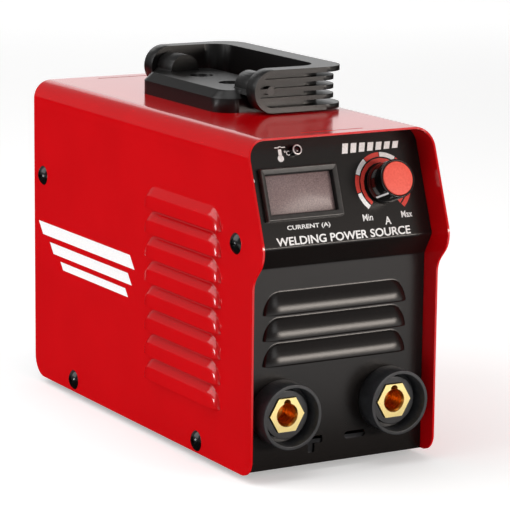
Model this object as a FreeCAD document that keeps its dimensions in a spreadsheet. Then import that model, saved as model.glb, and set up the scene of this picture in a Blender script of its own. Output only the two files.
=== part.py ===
import FreeCAD, Part
import os
import re

import Sketcher
from FreeCAD import Placement, Rotation, Vector

# Stick welding inverter, millimetres.  +Z is up, the control panel faces -Y and
# the origin is on the ground under the middle of the case.

SIZES = {
    # Folded sheet-steel cover.  Heights of the case are counted from its lower edge.
    "CoverWidth": 118.0, "CoverDepth": 270.5, "CoverHeight": 183.5, "CaseFloor": 4.0,
    "SheetWall": 1.2, "FoldRadius": 11.0, "FrontCorner": 10.0, "RearCorner": 12.0,
    "NoseReach": 12.84, "NoseHeight": 122.5, "NoseRadius": 14.3,
    "ThroatHeight": 108.1, "ThroatRadius": 13.4, "PanelTilt": 19.9,
    "SlitLength": 40.0, "SlitWidth": 1.4, "SlitInset": 9.0,
    # Hooded louvres, pressed out of the cover's sides and of the front panel.
    "LouvrePitch": 14.2, "HoodHeight": 12.2, "HoodDepth": 3.6, "HoodWall": 1.1,
    "SideLouvres": 8, "SideLouvreLength": 88.0, "SideLouvreMiddle": -57.0, "SideLouvreTop": 130.2,
    "FrontLouvres": 3, "FrontLouvreLength": 91.0, "FrontLouvreTop": 86.6, "FrontHoodDepth": 4.4,
    # Front and rear panels and the tray between them.
    "PanelWall": 1.3, "PanelGap": 0.2, "LowerRecess": 11.8, "ShelfHeight": 112.0,
    "RidgeSetback": 4.75, "RidgeHeight": 124.1, "FlangeDepth": 35.2,
    "RearRecess": 6.0, "RearFlange": 18.0, "TrayFlange": 13.5, "FlangeGap": 2.0,
    "SlotSpread": 14.0, "SlotHeight": 13.5, "SlotLength": 13.6, "SlotWidth": 4.2,
    # Cover screws: pan heads with a domed top.
    "ScrewHead": 5.9, "ScrewDome": 2.7, "ScrewShank": 1.9, "ScrewReach": 8.0, "ScrewHole": 2.1,
    "RearScrewY": 122.7, "RearScrewZ": 126.7, "FrontScrewY": -116.8, "FrontScrewZ": 126.3,
    "TrayRearScrewY": 80.9, "TrayRearScrewZ": 7.4, "TrayFrontScrewY": -74.1, "TrayFrontScrewZ": 6.8,
    # Folding handle: base plate with two ears, and a comb-sectioned bail between them.
    "HandleMiddle": 12.5, "HandleLength": 102.0, "HandleWidth": 50.0, "HandlePlate": 12.5,
    "HandleCorner": 12.0, "HandleChamfer": 4.5, "EarLength": 18.5, "EarRadius": 9.0, "EarFoot": 11.5,
    "PivotRise": 13.2, "PivotPin": 2.5, "PinClearance": 0.06,
    "BailLength": 134.0, "BailReach": 49.6, "BailRadius": 12.2, "BailCorner": 15.0,
    "BailArm": 10.0, "BailGrip": 14.0, "BailPlate": 3.0, "BailWeb": 3.0, "FinInset": 3.4, "FinWall": 2.6,
    "BailInnerCorner": 12.0, "EarGap": 0.6, "PinGrip": 12.0,
    "HandleHoleSpread": 35.0, "HandleHole": 2.75, "HandleBore": 7.0, "HandleSeat": 5.5,
    "HandleScrewHead": 4.8, "HandleScrewDome": 3.2, "HandleShank": 2.45,
    "HandleNutFlats": 8.0, "HandleNutWall": 4.0,
    # Rubber feet.
    "FootRadius": 9.0, "FootX": 38.0, "FootY": 95.0, "FootScrew": 2.0, "FootScrewHead": 3.8,
    "FootSink": 4.2, "FootSeat": 2.0, "FootNutFlats": 7.0, "FootNutWall": 3.2,
    # Output sockets: insulating collar, brass insert with a keyed bore, clamp ring and busbar.
    "SocketX": 34.3, "SocketHeight": 32.0, "CollarRadius": 18.2, "CollarReach": 14.2, "CollarWall": 2.0,
    "BossRadius": 13.5, "BossReach": 7.2, "NeckRadius": 13.8, "NeckLength": 14.0,
    "InsertFlats": 18.6, "InsertReach": 8.2, "InsertLength": 30.0, "BoreRadius": 6.6, "BoreDepth": 24.0,
    "KeyRadius": 2.2, "StudRadius": 5.0, "StudLength": 16.0, "ClampRadius": 17.0, "ClampWall": 7.0,
    "StudNutFlats": 16.0, "StudNutWall": 6.0, "MoatFloor": 2.5,
    "BusbarWidth": 15.0, "BusbarWall": 2.0,
    # Controls, placed on the sloping panel: across from the middle, and up from the ridge.
    "MeterX": -21.5, "MeterUp": 29.0, "MeterWidth": 48.0, "MeterHeight": 29.0, "BezelReach": 3.0,
    "WindowWidth": 42.6, "WindowHeight": 22.6, "WindowWall": 1.5, "WindowSeat": 0.2,
    "MeterBodyWidth": 45.0, "MeterBodyHeight": 26.0, "MeterSkirt": 12.0,
    "DigitsWidth": 38.0, "DigitsHeight": 19.0, "DigitsWall": 6.0, "DigitsDepth": 7.5,
    "LampX": -21.2, "LampUp": 52.2, "LampRadius": 2.9, "LampReach": 4.2, "LampLens": 1.9,
    "KnobX": 31.5, "KnobUp": 30.0, "KnobRadius": 10.8, "KnobReach": 16.0, "KnobGap": 1.4,
    "KnobCap": 9.3, "KnobCapWall": 1.0, "KnobDraft": 0.5, "KnobHollow": 8.6, "KnobHollowDepth": 3.0,
    "KnobRoof": 3.0, "PointerWidth": 1.6, "PointerDepth": 0.6, "KnobRest": -45.0,
    "ShaftRadius": 3.0, "ShaftPlay": 0.05, "ShaftRoot": 2.6, "BushRadius": 4.5, "BushReach": 2.1,
    "PotRadius": 8.3, "PotDepth": 9.0, "PotNutFlats": 12.0, "PotNutWall": 2.0,
    # Rear panel: fan, rocker switch, cable gland and earth screw.
    "FanSize": 80.0, "FanDepth": 25.0, "FanHeight": 62.0, "FanBore": 38.0, "FanHoleSpread": 71.5,
    "HubRadius": 16.5, "HubLength": 19.0, "BladeTip": 36.5, "Blades": 7, "BladeWall": 1.6,
    "BladePitch": 38.0, "BladeChord": 20.0, "MotorPlate": 3.0, "MotorGap": 0.6, "StrutWidth": 4.0,
    "FanShaft": 1.5,
    "GuardRings": 5, "GuardWire": 0.8, "GuardEye": 4.2, "GuardEyeWall": 1.5, "GuardStandOff": 1.2,
    "FanScrewHead": 3.6, "FanScrewDome": 2.0, "FanScrewReach": 22.0,
    "SwitchX": -30.0, "GlandX": 30.0, "InletHeight": 140.0, "SwitchWidth": 25.5, "SwitchHeight": 31.0,
    "SwitchRim": 2.0, "SwitchDepth": 24.0, "RockerPlay": 0.8, "RockerWell": 9.0,
    "RockerWidth": 18.0, "RockerHeight": 24.4, "RockerTilt": 10.0, "RockerPivot": 1.2,
    "RockerCrest": 2.6, "RockerDip": 0.8, "RockerRim": -2.0, "RockerRoot": -5.4, "RockerKeel": 4.0,
    "TrunnionRadius": 1.0, "TrunnionLength": 0.8,
    "GlandRadius": 10.5, "GlandThread": 8.0, "GlandBore": 5.2, "GlandReach": 16.82, "GlandCollar": 4.5,
    "GlandNeck": 8.4, "GlandNeckEnd": 11.0, "GlandDomeEdge": 7.6, "GlandDomeStart": 4.7,
    "GlandShoulder": 11.9, "GlandSeal": 6.5, "GlandSealStart": 1.5, "GlandSealLength": 9.0,
    "LockNutFlats": 22.0, "LockNutWall": 4.5,
    "EarthX": 46.0, "EarthHeight": 20.0, "EarthHole": 2.6, "EarthShank": 2.5, "EarthNutWall": 4.0,
    # Power electronics.
    "BoardHeight": 96.0, "BoardWall": 1.6, "BoardLength": 156.0, "BoardMiddle": 18.0, "BoardWidth": 100.0,
    "SinkBase": 5.0, "SinkFin": 34.0, "SinkFins": 9, "SinkFinWall": 1.8, "SinkHeight": 78.0,
    "SinkLength": 110.0, "SinkMiddle": 30.0, "SinkInner": 11.0, "SpacerHeight": 8.8,
    "SpacerRadius": 6.0, "DeviceWall": 5.0, "DeviceWidth": 16.0, "DeviceHeight": 21.0, "DeviceSpacing": 24.0,
    "LeadPitch": 5.4, "LeadWidth": 1.2, "LeadWall": 0.8, "LeadLength": 18.0,
    "StandoffRadius": 2.4, "BoardScrew": 2.8, "BoardScrewWall": 2.0,
    "CapRadius": 15.0, "CapHeight": 45.0, "CapX": -33.0, "CapStart": -24.0, "CapSpacing": 33.0,
    "BridgeSize": 28.0, "BridgeWall": 10.0, "BridgeX": 33.0, "BridgeY": 72.0,
    "RelayWidth": 19.0, "RelayLength": 28.0, "RelayHeight": 16.0, "RelayX": 33.0, "RelayY": 34.0,
    "ControlWidth": 76.0, "ControlHeight": 46.0, "ControlY": -52.0, "ChipWidth": 18.0, "ChipHeight": 8.0,
    "ChipWall": 3.0, "ChipRise": 20.0, "ChipX": 15.0,
    "CoreWidth": 60.0, "CoreDepth": 26.0, "CoreHeight": 56.0, "CoreLeg": 8.0, "CoreMiddle": -58.0,
    "CoreSeat": 3.0, "CoilSwell": 20.0, "CoilPlay": 0.5,
}

TOP = "CaseFloor + CoverHeight"
FRONT = "-CoverDepth / 2"
REAR = "CoverDepth / 2"
LOWER_PANEL = "-CoverDepth / 2 + LowerRecess"
REAR_PANEL = "CoverDepth / 2 - RearRecess"
SOCKET_Z = "CaseFloor + SocketHeight"
PIVOT_Z = "CaseFloor + CoverHeight + PivotRise"
TRAY_TOP = "CaseFloor + SheetWall"
BOARD_Z = "CaseFloor + BoardHeight"

doc = FreeCAD.newDocument("stick_welding_inverter")
sizes = doc.addObject("Spreadsheet::Sheet", "Sizes")
for row, (alias, number) in enumerate(SIZES.items(), start=1):
    sizes.set(f"A{row}", alias)
    sizes.set(f"B{row}", str(number))
    sizes.setAlias(f"B{row}", alias)
doc.recompute()


# ---------------------------------------------------------------- sheet and primitives

def from_sheet(text):
    """Points every capitalised word of an expression at the sheet's cell of that name."""
    return re.sub(r"\b([A-Z]\w+)", r"Sizes.\1", str(text))


def number(text):
    """The value of an expression."""
    return float(sizes.evalExpression(from_sheet(text)))


def bind(thing, **expressions):
    for name, text in expressions.items():
        thing.setExpression(name, from_sheet(text))
    return thing


def place(thing, x=0, y=0, z=0, turn=None):
    """Puts a thing at a point given by expressions, after turning it about its own origin."""
    if turn:
        thing.Placement = Placement(Vector(), turn)
    for axis, text in (("x", x), ("y", y), ("z", z)):
        thing.setExpression(".Placement.Base." + axis, from_sheet(text))
    return thing


def on_panel(thing, across=0, up=0, out=0, spin=0):
    """Stands a thing on the sloping control panel, its own Z along the panel's outward normal."""
    tilt = number("90 - PanelTilt")
    turn = Rotation(Vector(1, 0, 0), tilt).multiply(Rotation(Vector(0, 0, 1), number(spin)))
    y = f"{FRONT} + RidgeSetback + ({up}) * sin(PanelTilt) - ({out}) * cos(PanelTilt)"
    z = f"CaseFloor + RidgeHeight + ({up}) * cos(PanelTilt) + ({out}) * sin(PanelTilt)"
    return place(thing, across, y, z, turn)


def block(name, length, width, height, x=0, y=0, z=0):
    """A box centred on x and y and standing on z."""
    thing = bind(doc.addObject("Part::Box", name), Length=length, Width=width, Height=height)
    return place(thing, f"({x}) - ({length}) / 2", f"({y}) - ({width}) / 2", z)


ALONG = {
    "x": Rotation(Vector(0, 1, 0), 90), "-x": Rotation(Vector(0, 1, 0), -90),
    "y": Rotation(Vector(1, 0, 0), -90), "-y": Rotation(Vector(1, 0, 0), 90),
    "z": Rotation(), "-z": Rotation(Vector(1, 0, 0), 180),
}


def rod(name, radius, height, x=0, y=0, z=0, along="z"):
    """A cylinder that starts at a point and runs along an axis."""
    thing = bind(doc.addObject("Part::Cylinder", name), Radius=radius, Height=height)
    return place(thing, x, y, z, ALONG[along])


def hexagon(name, flats, height, x=0, y=0, z=0, along="z"):
    """A hexagonal bar, given by its width across flats."""
    thing = bind(doc.addObject("Part::Prism", name), Height=height, Circumradius=f"({flats}) / sqrt(3)")
    thing.Polygon = 6
    return place(thing, x, y, z, ALONG[along])


def fuse(name, *things):
    joined = doc.addObject("Part::MultiFuse", name)
    joined.Shapes = list(things)
    return joined


def common(name, first, second):
    shared = doc.addObject("Part::MultiCommon", name)
    shared.Shapes = [first, second]
    return shared


def cut(name, base, *tools):
    result = doc.addObject("Part::Cut", name)
    result.Base = base
    result.Tool = tools[0] if len(tools) == 1 else fuse(name + "_tools", *tools)
    return result


def group(name, things):
    """Several identical, separate pieces kept as one node."""
    together = doc.addObject("Part::Compound", name)
    together.Links = list(things)
    return together


def copy_at(name, master, x=0, y=0, z=0, turn=None):
    """Another one of an identical piece."""
    link = doc.addObject("App::Link", name)
    link.LinkedObject = master
    return place(link, x, y, z, turn)


# ---------------------------------------------------------------- PartDesign helpers

def origin_part(body, role):
    return next(item for item in body.Origin.OriginFeatures if item.Role == role)


def sketch(body, name, role, offset=0, turn=None, shift=None):
    """A sketch on one of the body's own planes, moved along the plane's normal by offset."""
    drawing = body.newObject("Sketcher::SketchObject", name)
    drawing.AttachmentSupport = (origin_part(body, role), [""])
    drawing.MapMode = "FlatFace"
    if turn:
        drawing.AttachmentOffset = Placement(Vector(), turn)
    x, y, z = shift or (0, 0, offset)
    for axis, text in (("x", x), ("y", y), ("z", z)):
        drawing.setExpression(".AttachmentOffset.Base." + axis, from_sheet(text))
    return drawing


def fix(drawing, kind, *where, to):
    index = drawing.addConstraint(Sketcher.Constraint(kind, *where, number(to)))
    drawing.setExpression(f"Constraints[{index}]", from_sheet(to))


def polygon(drawing, corners):
    """A closed outline of straight lines whose corners are bound to the sheet."""
    first = drawing.GeometryCount
    points = [Vector(number(across), number(up), 0) for across, up in corners]
    count = len(points)
    for index, point in enumerate(points):
        drawing.addGeometry(Part.LineSegment(point, points[(index + 1) % count]))
    for index in range(count):
        following = first + (index + 1) % count
        drawing.addConstraint(Sketcher.Constraint("Coincident", first + index, 2, following, 1))
    for index, (across, up) in enumerate(corners, start=first):
        fix(drawing, "DistanceX", -1, 1, index, 1, to=across)
        fix(drawing, "DistanceY", -1, 1, index, 1, to=up)


def rectangle(drawing, width, height, across=0, up=0):
    left, right = f"({across}) - ({width}) / 2", f"({across}) + ({width}) / 2"
    low, high = f"({up}) - ({height}) / 2", f"({up}) + ({height}) / 2"
    polygon(drawing, [(left, low), (right, low), (right, high), (left, high)])


def circle(drawing, radius, across=0, up=0):
    middle = Vector(number(across), number(up), 0)
    index = drawing.addGeometry(Part.Circle(middle, Vector(0, 0, 1), number(radius)))
    fix(drawing, "Radius", index, to=radius)
    fix(drawing, "DistanceX", -1, 1, index, 3, to=across)
    fix(drawing, "DistanceY", -1, 1, index, 3, to=up)


def pad(body, name, profile, length, midplane=False, reverse=False):
    feature = body.newObject("PartDesign::Pad", name)
    feature.Profile = profile
    feature.Midplane = midplane
    feature.Reversed = reverse
    return bind(feature, Length=length)


def pocket(body, name, profile, length=None, midplane=True, reverse=False):
    """Cuts through everything, both ways, unless a length is given."""
    feature = body.newObject("PartDesign::Pocket", name)
    feature.Profile = profile
    feature.Midplane = midplane
    feature.Reversed = reverse
    if length is None:
        feature.Type = "ThroughAll"
        return feature
    return bind(feature, Length=length)


def edges_where(feature, test):
    """Names of a feature's straight edges whose middle and direction pass a test."""
    doc.recompute()
    names = []
    for index, edge in enumerate(feature.Shape.Edges, start=1):
        if len(edge.Vertexes) != 2 or not isinstance(edge.Curve, Part.Line):
            continue
        start, end = (vertex.Point for vertex in edge.Vertexes)
        if test((start + end) * 0.5, (end - start).normalize()):
            names.append(f"Edge{index}")
    return names


def round_edges(body, name, base, test, radius):
    names = edges_where(base, test)
    feature = body.newObject("PartDesign::Fillet", name)
    feature.Base = (base, names)
    return bind(feature, Radius=radius)


def repeat(body, name, features, axis, length, count, reverse=False):
    pattern = body.newObject("PartDesign::LinearPattern", name)
    pattern.Originals = features
    pattern.Direction = (origin_part(body, axis), [""])
    pattern.Reversed = reverse
    bind(pattern, Length=length, Occurrences=count)
    body.Tip = pattern
    return pattern


def near(value, expression, tolerance=0.05):
    return abs(value - number(expression)) < tolerance


# ---------------------------------------------------------------- sheet-metal case

COVER_SCREWS = [(name + "Y", "CaseFloor + " + name + "Z")
                for name in ("RearScrew", "FrontScrew", "TrayRearScrew", "TrayFrontScrew")]


def hood_outline(face, lip, depth, side):
    """Section of a louvre hood that rises from a wall's face and opens downward."""
    steps = ((0, 1), (0.55, 0.86), (0.86, 0.6), (1, 0.28), (1, 0), (0, 0))
    return [(f"({face}) + {side} * ({depth}) * {out}", f"{lip} + HoodHeight * {rise}")
            for out, rise in steps]


def hood_cavity(face, lip, depth, side):
    """The hollow under a hood, which also opens the wall behind it."""
    inner = f"({face}) - {side} * (SheetWall + 0.6)"
    crown, lip_low = f"{lip} + HoodHeight - HoodWall * 1.6", f"{lip} - 0.4"
    steps = ((0.42, 0.8), (0.86, 0.55), (0.995, 0.26))
    bulge = [(f"({face}) + {side} * (({depth}) * {out} - HoodWall)", f"{lip} + HoodHeight * {rise}")
             for out, rise in steps]
    mouth = f"({face}) + {side} * (({depth}) - HoodWall)"
    return [(inner, crown), (face, crown)] + bulge + [(mouth, lip_low), (inner, lip_low)]


def make_cover():
    body = doc.addObject("PartDesign::Body", "cover")
    half, inner = "CoverWidth / 2", "CoverWidth / 2 - SheetWall"
    lid = f"{TOP} - SheetWall"
    section = sketch(body, "CoverSection", "XZ_Plane")
    polygon(section, [
        (f"-{half}", "CaseFloor"), (f"-{half}", TOP), (half, TOP), (half, "CaseFloor"),
        (inner, "CaseFloor"), (inner, lid), (f"-({inner})", lid), (f"-({inner})", "CaseFloor")])
    sheet = pad(body, "CoverSheet", section, "CoverDepth + 4 * NoseReach", midplane=True)

    def outer_fold(middle, way):
        return abs(way.y) > 0.9 and near(abs(middle.x), half) and near(middle.z, TOP)

    def inner_fold(middle, way):
        return abs(way.y) > 0.9 and near(abs(middle.x), inner) and near(middle.z, lid)

    folds = round_edges(body, "CoverFolds", sheet, outer_fold, "FoldRadius")
    folds = round_edges(body, "CoverFoldsInside", folds, inner_fold, "FoldRadius - SheetWall")

    far = "CoverDepth"
    nose = (f"{FRONT} - NoseReach", "CaseFloor + NoseHeight")
    brow = (f"{FRONT} - NoseReach + (CoverHeight + 1 - NoseHeight) * tan(PanelTilt)", f"{TOP} + 1")
    front = sketch(body, "CoverFront", "YZ_Plane")
    polygon(front, [(FRONT, 0), (FRONT, "CaseFloor + ThroatHeight"), nose, brow,
                    (f"-{far}", f"{TOP} + 1"), (f"-{far}", 0)])
    pocket(body, "CoverFrontTrim", front)
    rear = sketch(body, "CoverRear", "YZ_Plane")
    polygon(rear, [(REAR, 0), (far, 0), (far, f"{TOP} + 1"), (REAR, f"{TOP} + 1")])
    trimmed = pocket(body, "CoverRearTrim", rear)

    def corner(y, z):
        return lambda middle, way: abs(way.x) > 0.9 and near(middle.y, y) and near(middle.z, z)

    for name, spot, radius in (
            ("CoverNose", nose, "NoseRadius"),
            ("CoverThroat", (FRONT, "CaseFloor + ThroatHeight"), "ThroatRadius"),
            ("CoverToe", (FRONT, "CaseFloor"), "FrontCorner"),
            ("CoverHeel", (REAR, "CaseFloor"), "RearCorner")):
        trimmed = round_edges(body, name, trimmed, corner(*spot), radius)

    side_holes = sketch(body, "CoverScrewHoles", "YZ_Plane")
    for y, z in COVER_SCREWS:
        circle(side_holes, "ScrewHole", y, z)
    pocket(body, "CoverScrewBores", side_holes)
    top_holes = sketch(body, "CoverTopHoles", "XY_Plane", offset=TOP)
    for side in (-1, 1):
        circle(top_holes, "HandleHole", 0, f"HandleMiddle + {side} * HandleHoleSpread / 2")
    brow_edge = f"{FRONT} - NoseReach + (CoverHeight - NoseHeight) * tan(PanelTilt)"
    rectangle(top_holes, "SlitLength", "SlitWidth", 0, f"{brow_edge} + SlitInset")
    rectangle(top_holes, "SlitLength", "SlitWidth", 0, f"{REAR} - SlitInset")
    pocket(body, "CoverTopOpenings", top_holes, "4 * SheetWall")

    lip = "CaseFloor + SideLouvreTop"
    hoods = sketch(body, "CoverHoods", "XZ_Plane", offset="-SideLouvreMiddle")
    hollows = sketch(body, "CoverHollows", "XZ_Plane", offset="-SideLouvreMiddle")
    for side in (-1, 1):
        polygon(hoods, hood_outline(f"{side} * {half}", lip, "HoodDepth", side))
        polygon(hollows, hood_cavity(f"{side} * {half}", lip, "HoodDepth", side))
    hood = pad(body, "CoverHood", hoods, "SideLouvreLength", midplane=True)
    hollow = pocket(body, "CoverHollow", hollows, "SideLouvreLength - 2 * HoodWall")
    repeat(body, "CoverLouvres", [hood, hollow], "Z_Axis", "LouvrePitch * (SideLouvres - 1)",
           "SideLouvres", reverse=True)
    return body


def make_tray():
    """Bottom tray with turned-up edges; its front and rear edges are spot-welded to the panels."""
    half = "CoverWidth / 2 - SheetWall - PanelGap"
    front = f"{LOWER_PANEL} + PanelWall"
    rear = f"{REAR_PANEL} - PanelWall"
    length = f"({rear}) - ({front})"
    middle = f"(({rear}) + ({front})) / 2"
    outside = block("TrayOutside", f"2 * ({half})", length, "TrayFlange", 0, middle, "CaseFloor")
    inside = block("TrayInside", f"2 * ({half}) - 2 * SheetWall", f"{length} - 2 * SheetWall",
                   "TrayFlange", 0, middle, TRAY_TOP)
    holes = [rod(f"TrayFootHole{x}{y}", "FootScrew + 0.2", 20, f"{x} * FootX", f"{y} * FootY", 0)
             for x in (-1, 1) for y in (-1, 1)]
    holes += [rod(f"TrayScrewHole{index}", "ScrewHole", "CoverWidth", "-CoverWidth / 2", y, z, along="x")
              for index, (y, z) in enumerate(COVER_SCREWS[2:])]
    return cut("chassis_tray", outside, inside, *holes)


def panel_profile(extra=0, top_drop="SheetWall + PanelGap"):
    """Outer corners of the front panel from its foot up to a level below the case's top."""
    ridge_y = f"{FRONT} + RidgeSetback"
    top_y = f"{ridge_y} + (CoverHeight - ({top_drop}) - RidgeHeight) * tan(PanelTilt)"
    corners = [(LOWER_PANEL, "CaseFloor"), (LOWER_PANEL, "CaseFloor + ShelfHeight"),
               (ridge_y, "CaseFloor + RidgeHeight"), (top_y, f"{TOP} - ({top_drop})")]
    return [(f"{y} + {extra}", z) for y, z in corners]


def round_top_corners(body, name, base):
    """Rounds a panel's top corners so that they follow the inside of the cover's folds."""
    def corner(middle, way):
        return abs(way.y) > 0.9 and abs(middle.x) > number("CoverWidth / 2 - 2") and near(
            middle.z, f"{TOP} - SheetWall - PanelGap")
    return round_edges(body, name, base, corner, "FoldRadius - SheetWall")


def make_front_panel():
    """Painted steel front: vertical vented lower part, and a control panel that leans back."""
    body = doc.addObject("PartDesign::Body", "front_panel")
    width = "CoverWidth - 2 * SheetWall - 2 * PanelGap"
    high, edge = "CoverHeight - SheetWall - PanelGap", f"{FRONT} + FlangeDepth"
    outline = sketch(body, "PanelOutline", "XZ_Plane", offset=f"-({FRONT})")
    rectangle(outline, width, high, 0, f"CaseFloor + ({high}) / 2")
    blank = pad(body, "PanelBlank", outline, "FlangeDepth", reverse=True)
    round_top_corners(body, "PanelCorners", blank)
    for name, profile, far in (("PanelFace", panel_profile(), f"{FRONT} - 1"),
                               ("PanelBack", panel_profile("PanelWall"), f"{edge} + 1")):
        side_view = sketch(body, name + "Line", "YZ_Plane")
        foot, head = (profile[0][0], 0), (profile[-1][0], f"{TOP} + 1")
        polygon(side_view, [foot, *profile, head, (far, f"{TOP} + 1"), (far, 0)])
        pocket(body, name, side_view)
    flange_low = "CaseFloor + TrayFlange + FlangeGap"
    for side, offset in (("Left", f"-({width}) / 2"), ("Right", f"({width}) / 2 - PanelWall")):
        flange = sketch(body, f"Panel{side}Flange", "YZ_Plane", offset=offset)
        foot, *bends = panel_profile("PanelWall / 2", "FoldRadius + FlangeGap")
        polygon(flange, [(foot[0], flange_low), *bends, (edge, bends[-1][1]), (edge, flange_low)])
        pad(body, f"Panel{side}Return", flange, "PanelWall")

    lip = "CaseFloor + FrontLouvreTop"
    hoods = sketch(body, "PanelHoods", "YZ_Plane")
    polygon(hoods, hood_outline(LOWER_PANEL, lip, "FrontHoodDepth", -1))
    hollows = sketch(body, "PanelHollows", "YZ_Plane")
    polygon(hollows, hood_cavity(LOWER_PANEL, lip, "FrontHoodDepth", -1))
    hood = pad(body, "PanelHood", hoods, "FrontLouvreLength", midplane=True)
    hollow = pocket(body, "PanelHollow", hollows, "FrontLouvreLength - 2 * HoodWall")
    repeat(body, "PanelLouvres", [hood, hollow], "Z_Axis", "LouvrePitch * (FrontLouvres - 1)",
           "FrontLouvres", reverse=True)

    lower = sketch(body, "PanelLowerHoles", "XZ_Plane", offset=f"-({LOWER_PANEL})")
    for side in (-1, 1):
        circle(lower, "NeckRadius + 0.2", f"{side} * SocketX", SOCKET_Z)
    level = "CaseFloor + SlotHeight"
    rectangle(lower, "SlotLength", "SlotWidth", "SlotSpread", level)
    arm, bar = "SlotLength / 2 + 0.4", "SlotWidth / 2"
    steps = [(arm, bar), (bar, bar), (bar, arm)]
    steps += [(f"-({y})", x) for x, y in steps]
    steps += [(f"-({x})", f"-({y})") for x, y in steps]
    polygon(lower, [(f"-SlotSpread + ({x})", f"{level} + ({y})") for x, y in steps])
    pocket(body, "PanelLowerOpenings", lower, "6 * PanelWall")

    tilt = Rotation(Vector(1, 0, 0), number("90 - PanelTilt"))
    ridge = (0, f"{FRONT} + RidgeSetback", "CaseFloor + RidgeHeight")
    upper = sketch(body, "PanelUpperHoles", "XY_Plane", turn=tilt, shift=ridge)
    rectangle(upper, "MeterBodyWidth + 0.4", "MeterBodyHeight + 0.4", "MeterX", "MeterUp")
    circle(upper, "LampLens + 0.7", "LampX", "LampUp")
    circle(upper, "BushRadius + 0.1", "KnobX", "KnobUp")
    pocket(body, "PanelUpperOpenings", upper, "6 * PanelWall")
    screws = sketch(body, "PanelScrewHoles", "YZ_Plane")
    circle(screws, "ScrewHole", *COVER_SCREWS[1])
    body.Tip = pocket(body, "PanelScrewBores", screws)
    return body


def make_rear_panel():
    """Flat steel rear panel with side returns, a fan opening and the mains fittings' holes."""
    body = doc.addObject("PartDesign::Body", "rear_panel")
    width = "CoverWidth - 2 * SheetWall - 2 * PanelGap"
    high = "CoverHeight - SheetWall - PanelGap"
    face = sketch(body, "RearFace", "XZ_Plane", offset=f"-({REAR_PANEL})")
    rectangle(face, width, high, 0, f"CaseFloor + ({high}) / 2")
    sheet = pad(body, "RearSheet", face, "PanelWall")
    round_top_corners(body, "RearCorners", sheet)
    for side, offset in (("Left", f"-({width}) / 2"), ("Right", f"({width}) / 2 - PanelWall")):
        flange = sketch(body, f"Rear{side}Flange", "YZ_Plane", offset=offset)
        low, level = "CaseFloor + TrayFlange + FlangeGap", f"{TOP} - FoldRadius - FlangeGap"
        start, end = f"{REAR_PANEL} - RearFlange", f"{REAR_PANEL} - PanelWall / 2"
        polygon(flange, [(start, low), (end, low), (end, level), (start, level)])
        pad(body, f"Rear{side}Return", flange, "PanelWall")
    holes = sketch(body, "RearHoles", "XZ_Plane", offset=f"-({REAR_PANEL})")
    circle(holes, "FanBore", 0, "CaseFloor + FanHeight")
    for x in (-1, 1):
        for z in (-1, 1):
            circle(holes, "ScrewHole", f"{x} * FanHoleSpread / 2",
                   f"CaseFloor + FanHeight + {z} * FanHoleSpread / 2")
    rectangle(holes, "SwitchWidth - 3.5", "SwitchHeight - 3.5", "SwitchX", "CaseFloor + InletHeight")
    circle(holes, "GlandThread + 0.2", "GlandX", "CaseFloor + InletHeight")
    circle(holes, "EarthHole", "EarthX", "CaseFloor + EarthHeight")
    pocket(body, "RearOpenings", holes, "4 * PanelWall")
    screws = sketch(body, "RearScrewHoles", "YZ_Plane")
    circle(screws, "ScrewHole", *COVER_SCREWS[0])
    body.Tip = pocket(body, "RearScrewBores", screws)
    return body


def pan_screw(name, head, dome, shank, reach):
    """Screw along +Z with its head's seat at the origin and a cross recess in its domed top."""
    ball_radius = f"((({head})^2 + ({dome})^2) / (2 * ({dome})))"
    cap = rod(f"{name}_cap", head, dome)
    ball = bind(doc.addObject("Part::Sphere", f"{name}_ball"), Radius=ball_radius)
    place(ball, 0, 0, f"({dome}) - {ball_radius}")
    stem = rod(f"{name}_stem", shank, reach, along="-z")
    solid = fuse(f"{name}_solid", common(f"{name}_head", cap, ball), stem)
    arms = [block(f"{name}_slot{turn}", f"({head}) * {x}", f"({head}) * {y}", dome, 0, 0, f"({dome}) * 0.4")
            for turn, (x, y) in enumerate(((0.95, 0.2), (0.2, 0.95)))]
    return cut(name, solid, *arms)


def make_cover_screws():
    master = pan_screw("cover_screw", "ScrewHead", "ScrewDome", "ScrewShank", "ScrewReach")
    links = []
    for side, along in ((-1, "-x"), (1, "x")):
        for y, z in COVER_SCREWS:
            name = f"cover_screw_{len(links)}"
            links.append(copy_at(name, master, f"{side} * CoverWidth / 2", y, z, ALONG[along]))
    return group("cover_screws", links)


def make_feet():
    """Four rubber feet under the tray, each held by a screw and a nut."""
    rubber = cut("foot", rod("FootDisc", "FootRadius", "CaseFloor"),
                 rod("FootHole", "FootScrew + 0.1", "CaseFloor"),
                 rod("FootCounterbore", "FootSink", "FootSeat"))
    nut_top = f"{TRAY_TOP} + FootNutWall"
    screw = fuse("foot_screw", rod("FootScrewCap", "FootScrewHead", "FootSeat - 0.5", z=0.5),
                 rod("FootScrewShank", "FootScrew", f"{nut_top} - 0.5", z=1))
    nut = cut("foot_nut", hexagon("FootNutHex", "FootNutFlats", "FootNutWall", z=TRAY_TOP),
              rod("FootNutHole", "FootScrew", "4 * FootNutWall"))
    nodes = []
    for label, master in (("feet", rubber), ("foot_screws", screw), ("foot_nuts", nut)):
        links = [copy_at(f"{label}_{x}_{y}", master, f"{x} * FootX", f"{y} * FootY")
                 for x in (-1, 1) for y in (-1, 1)]
        nodes.append(group(label, links))
    return nodes


# ---------------------------------------------------------------- folding handle

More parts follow.
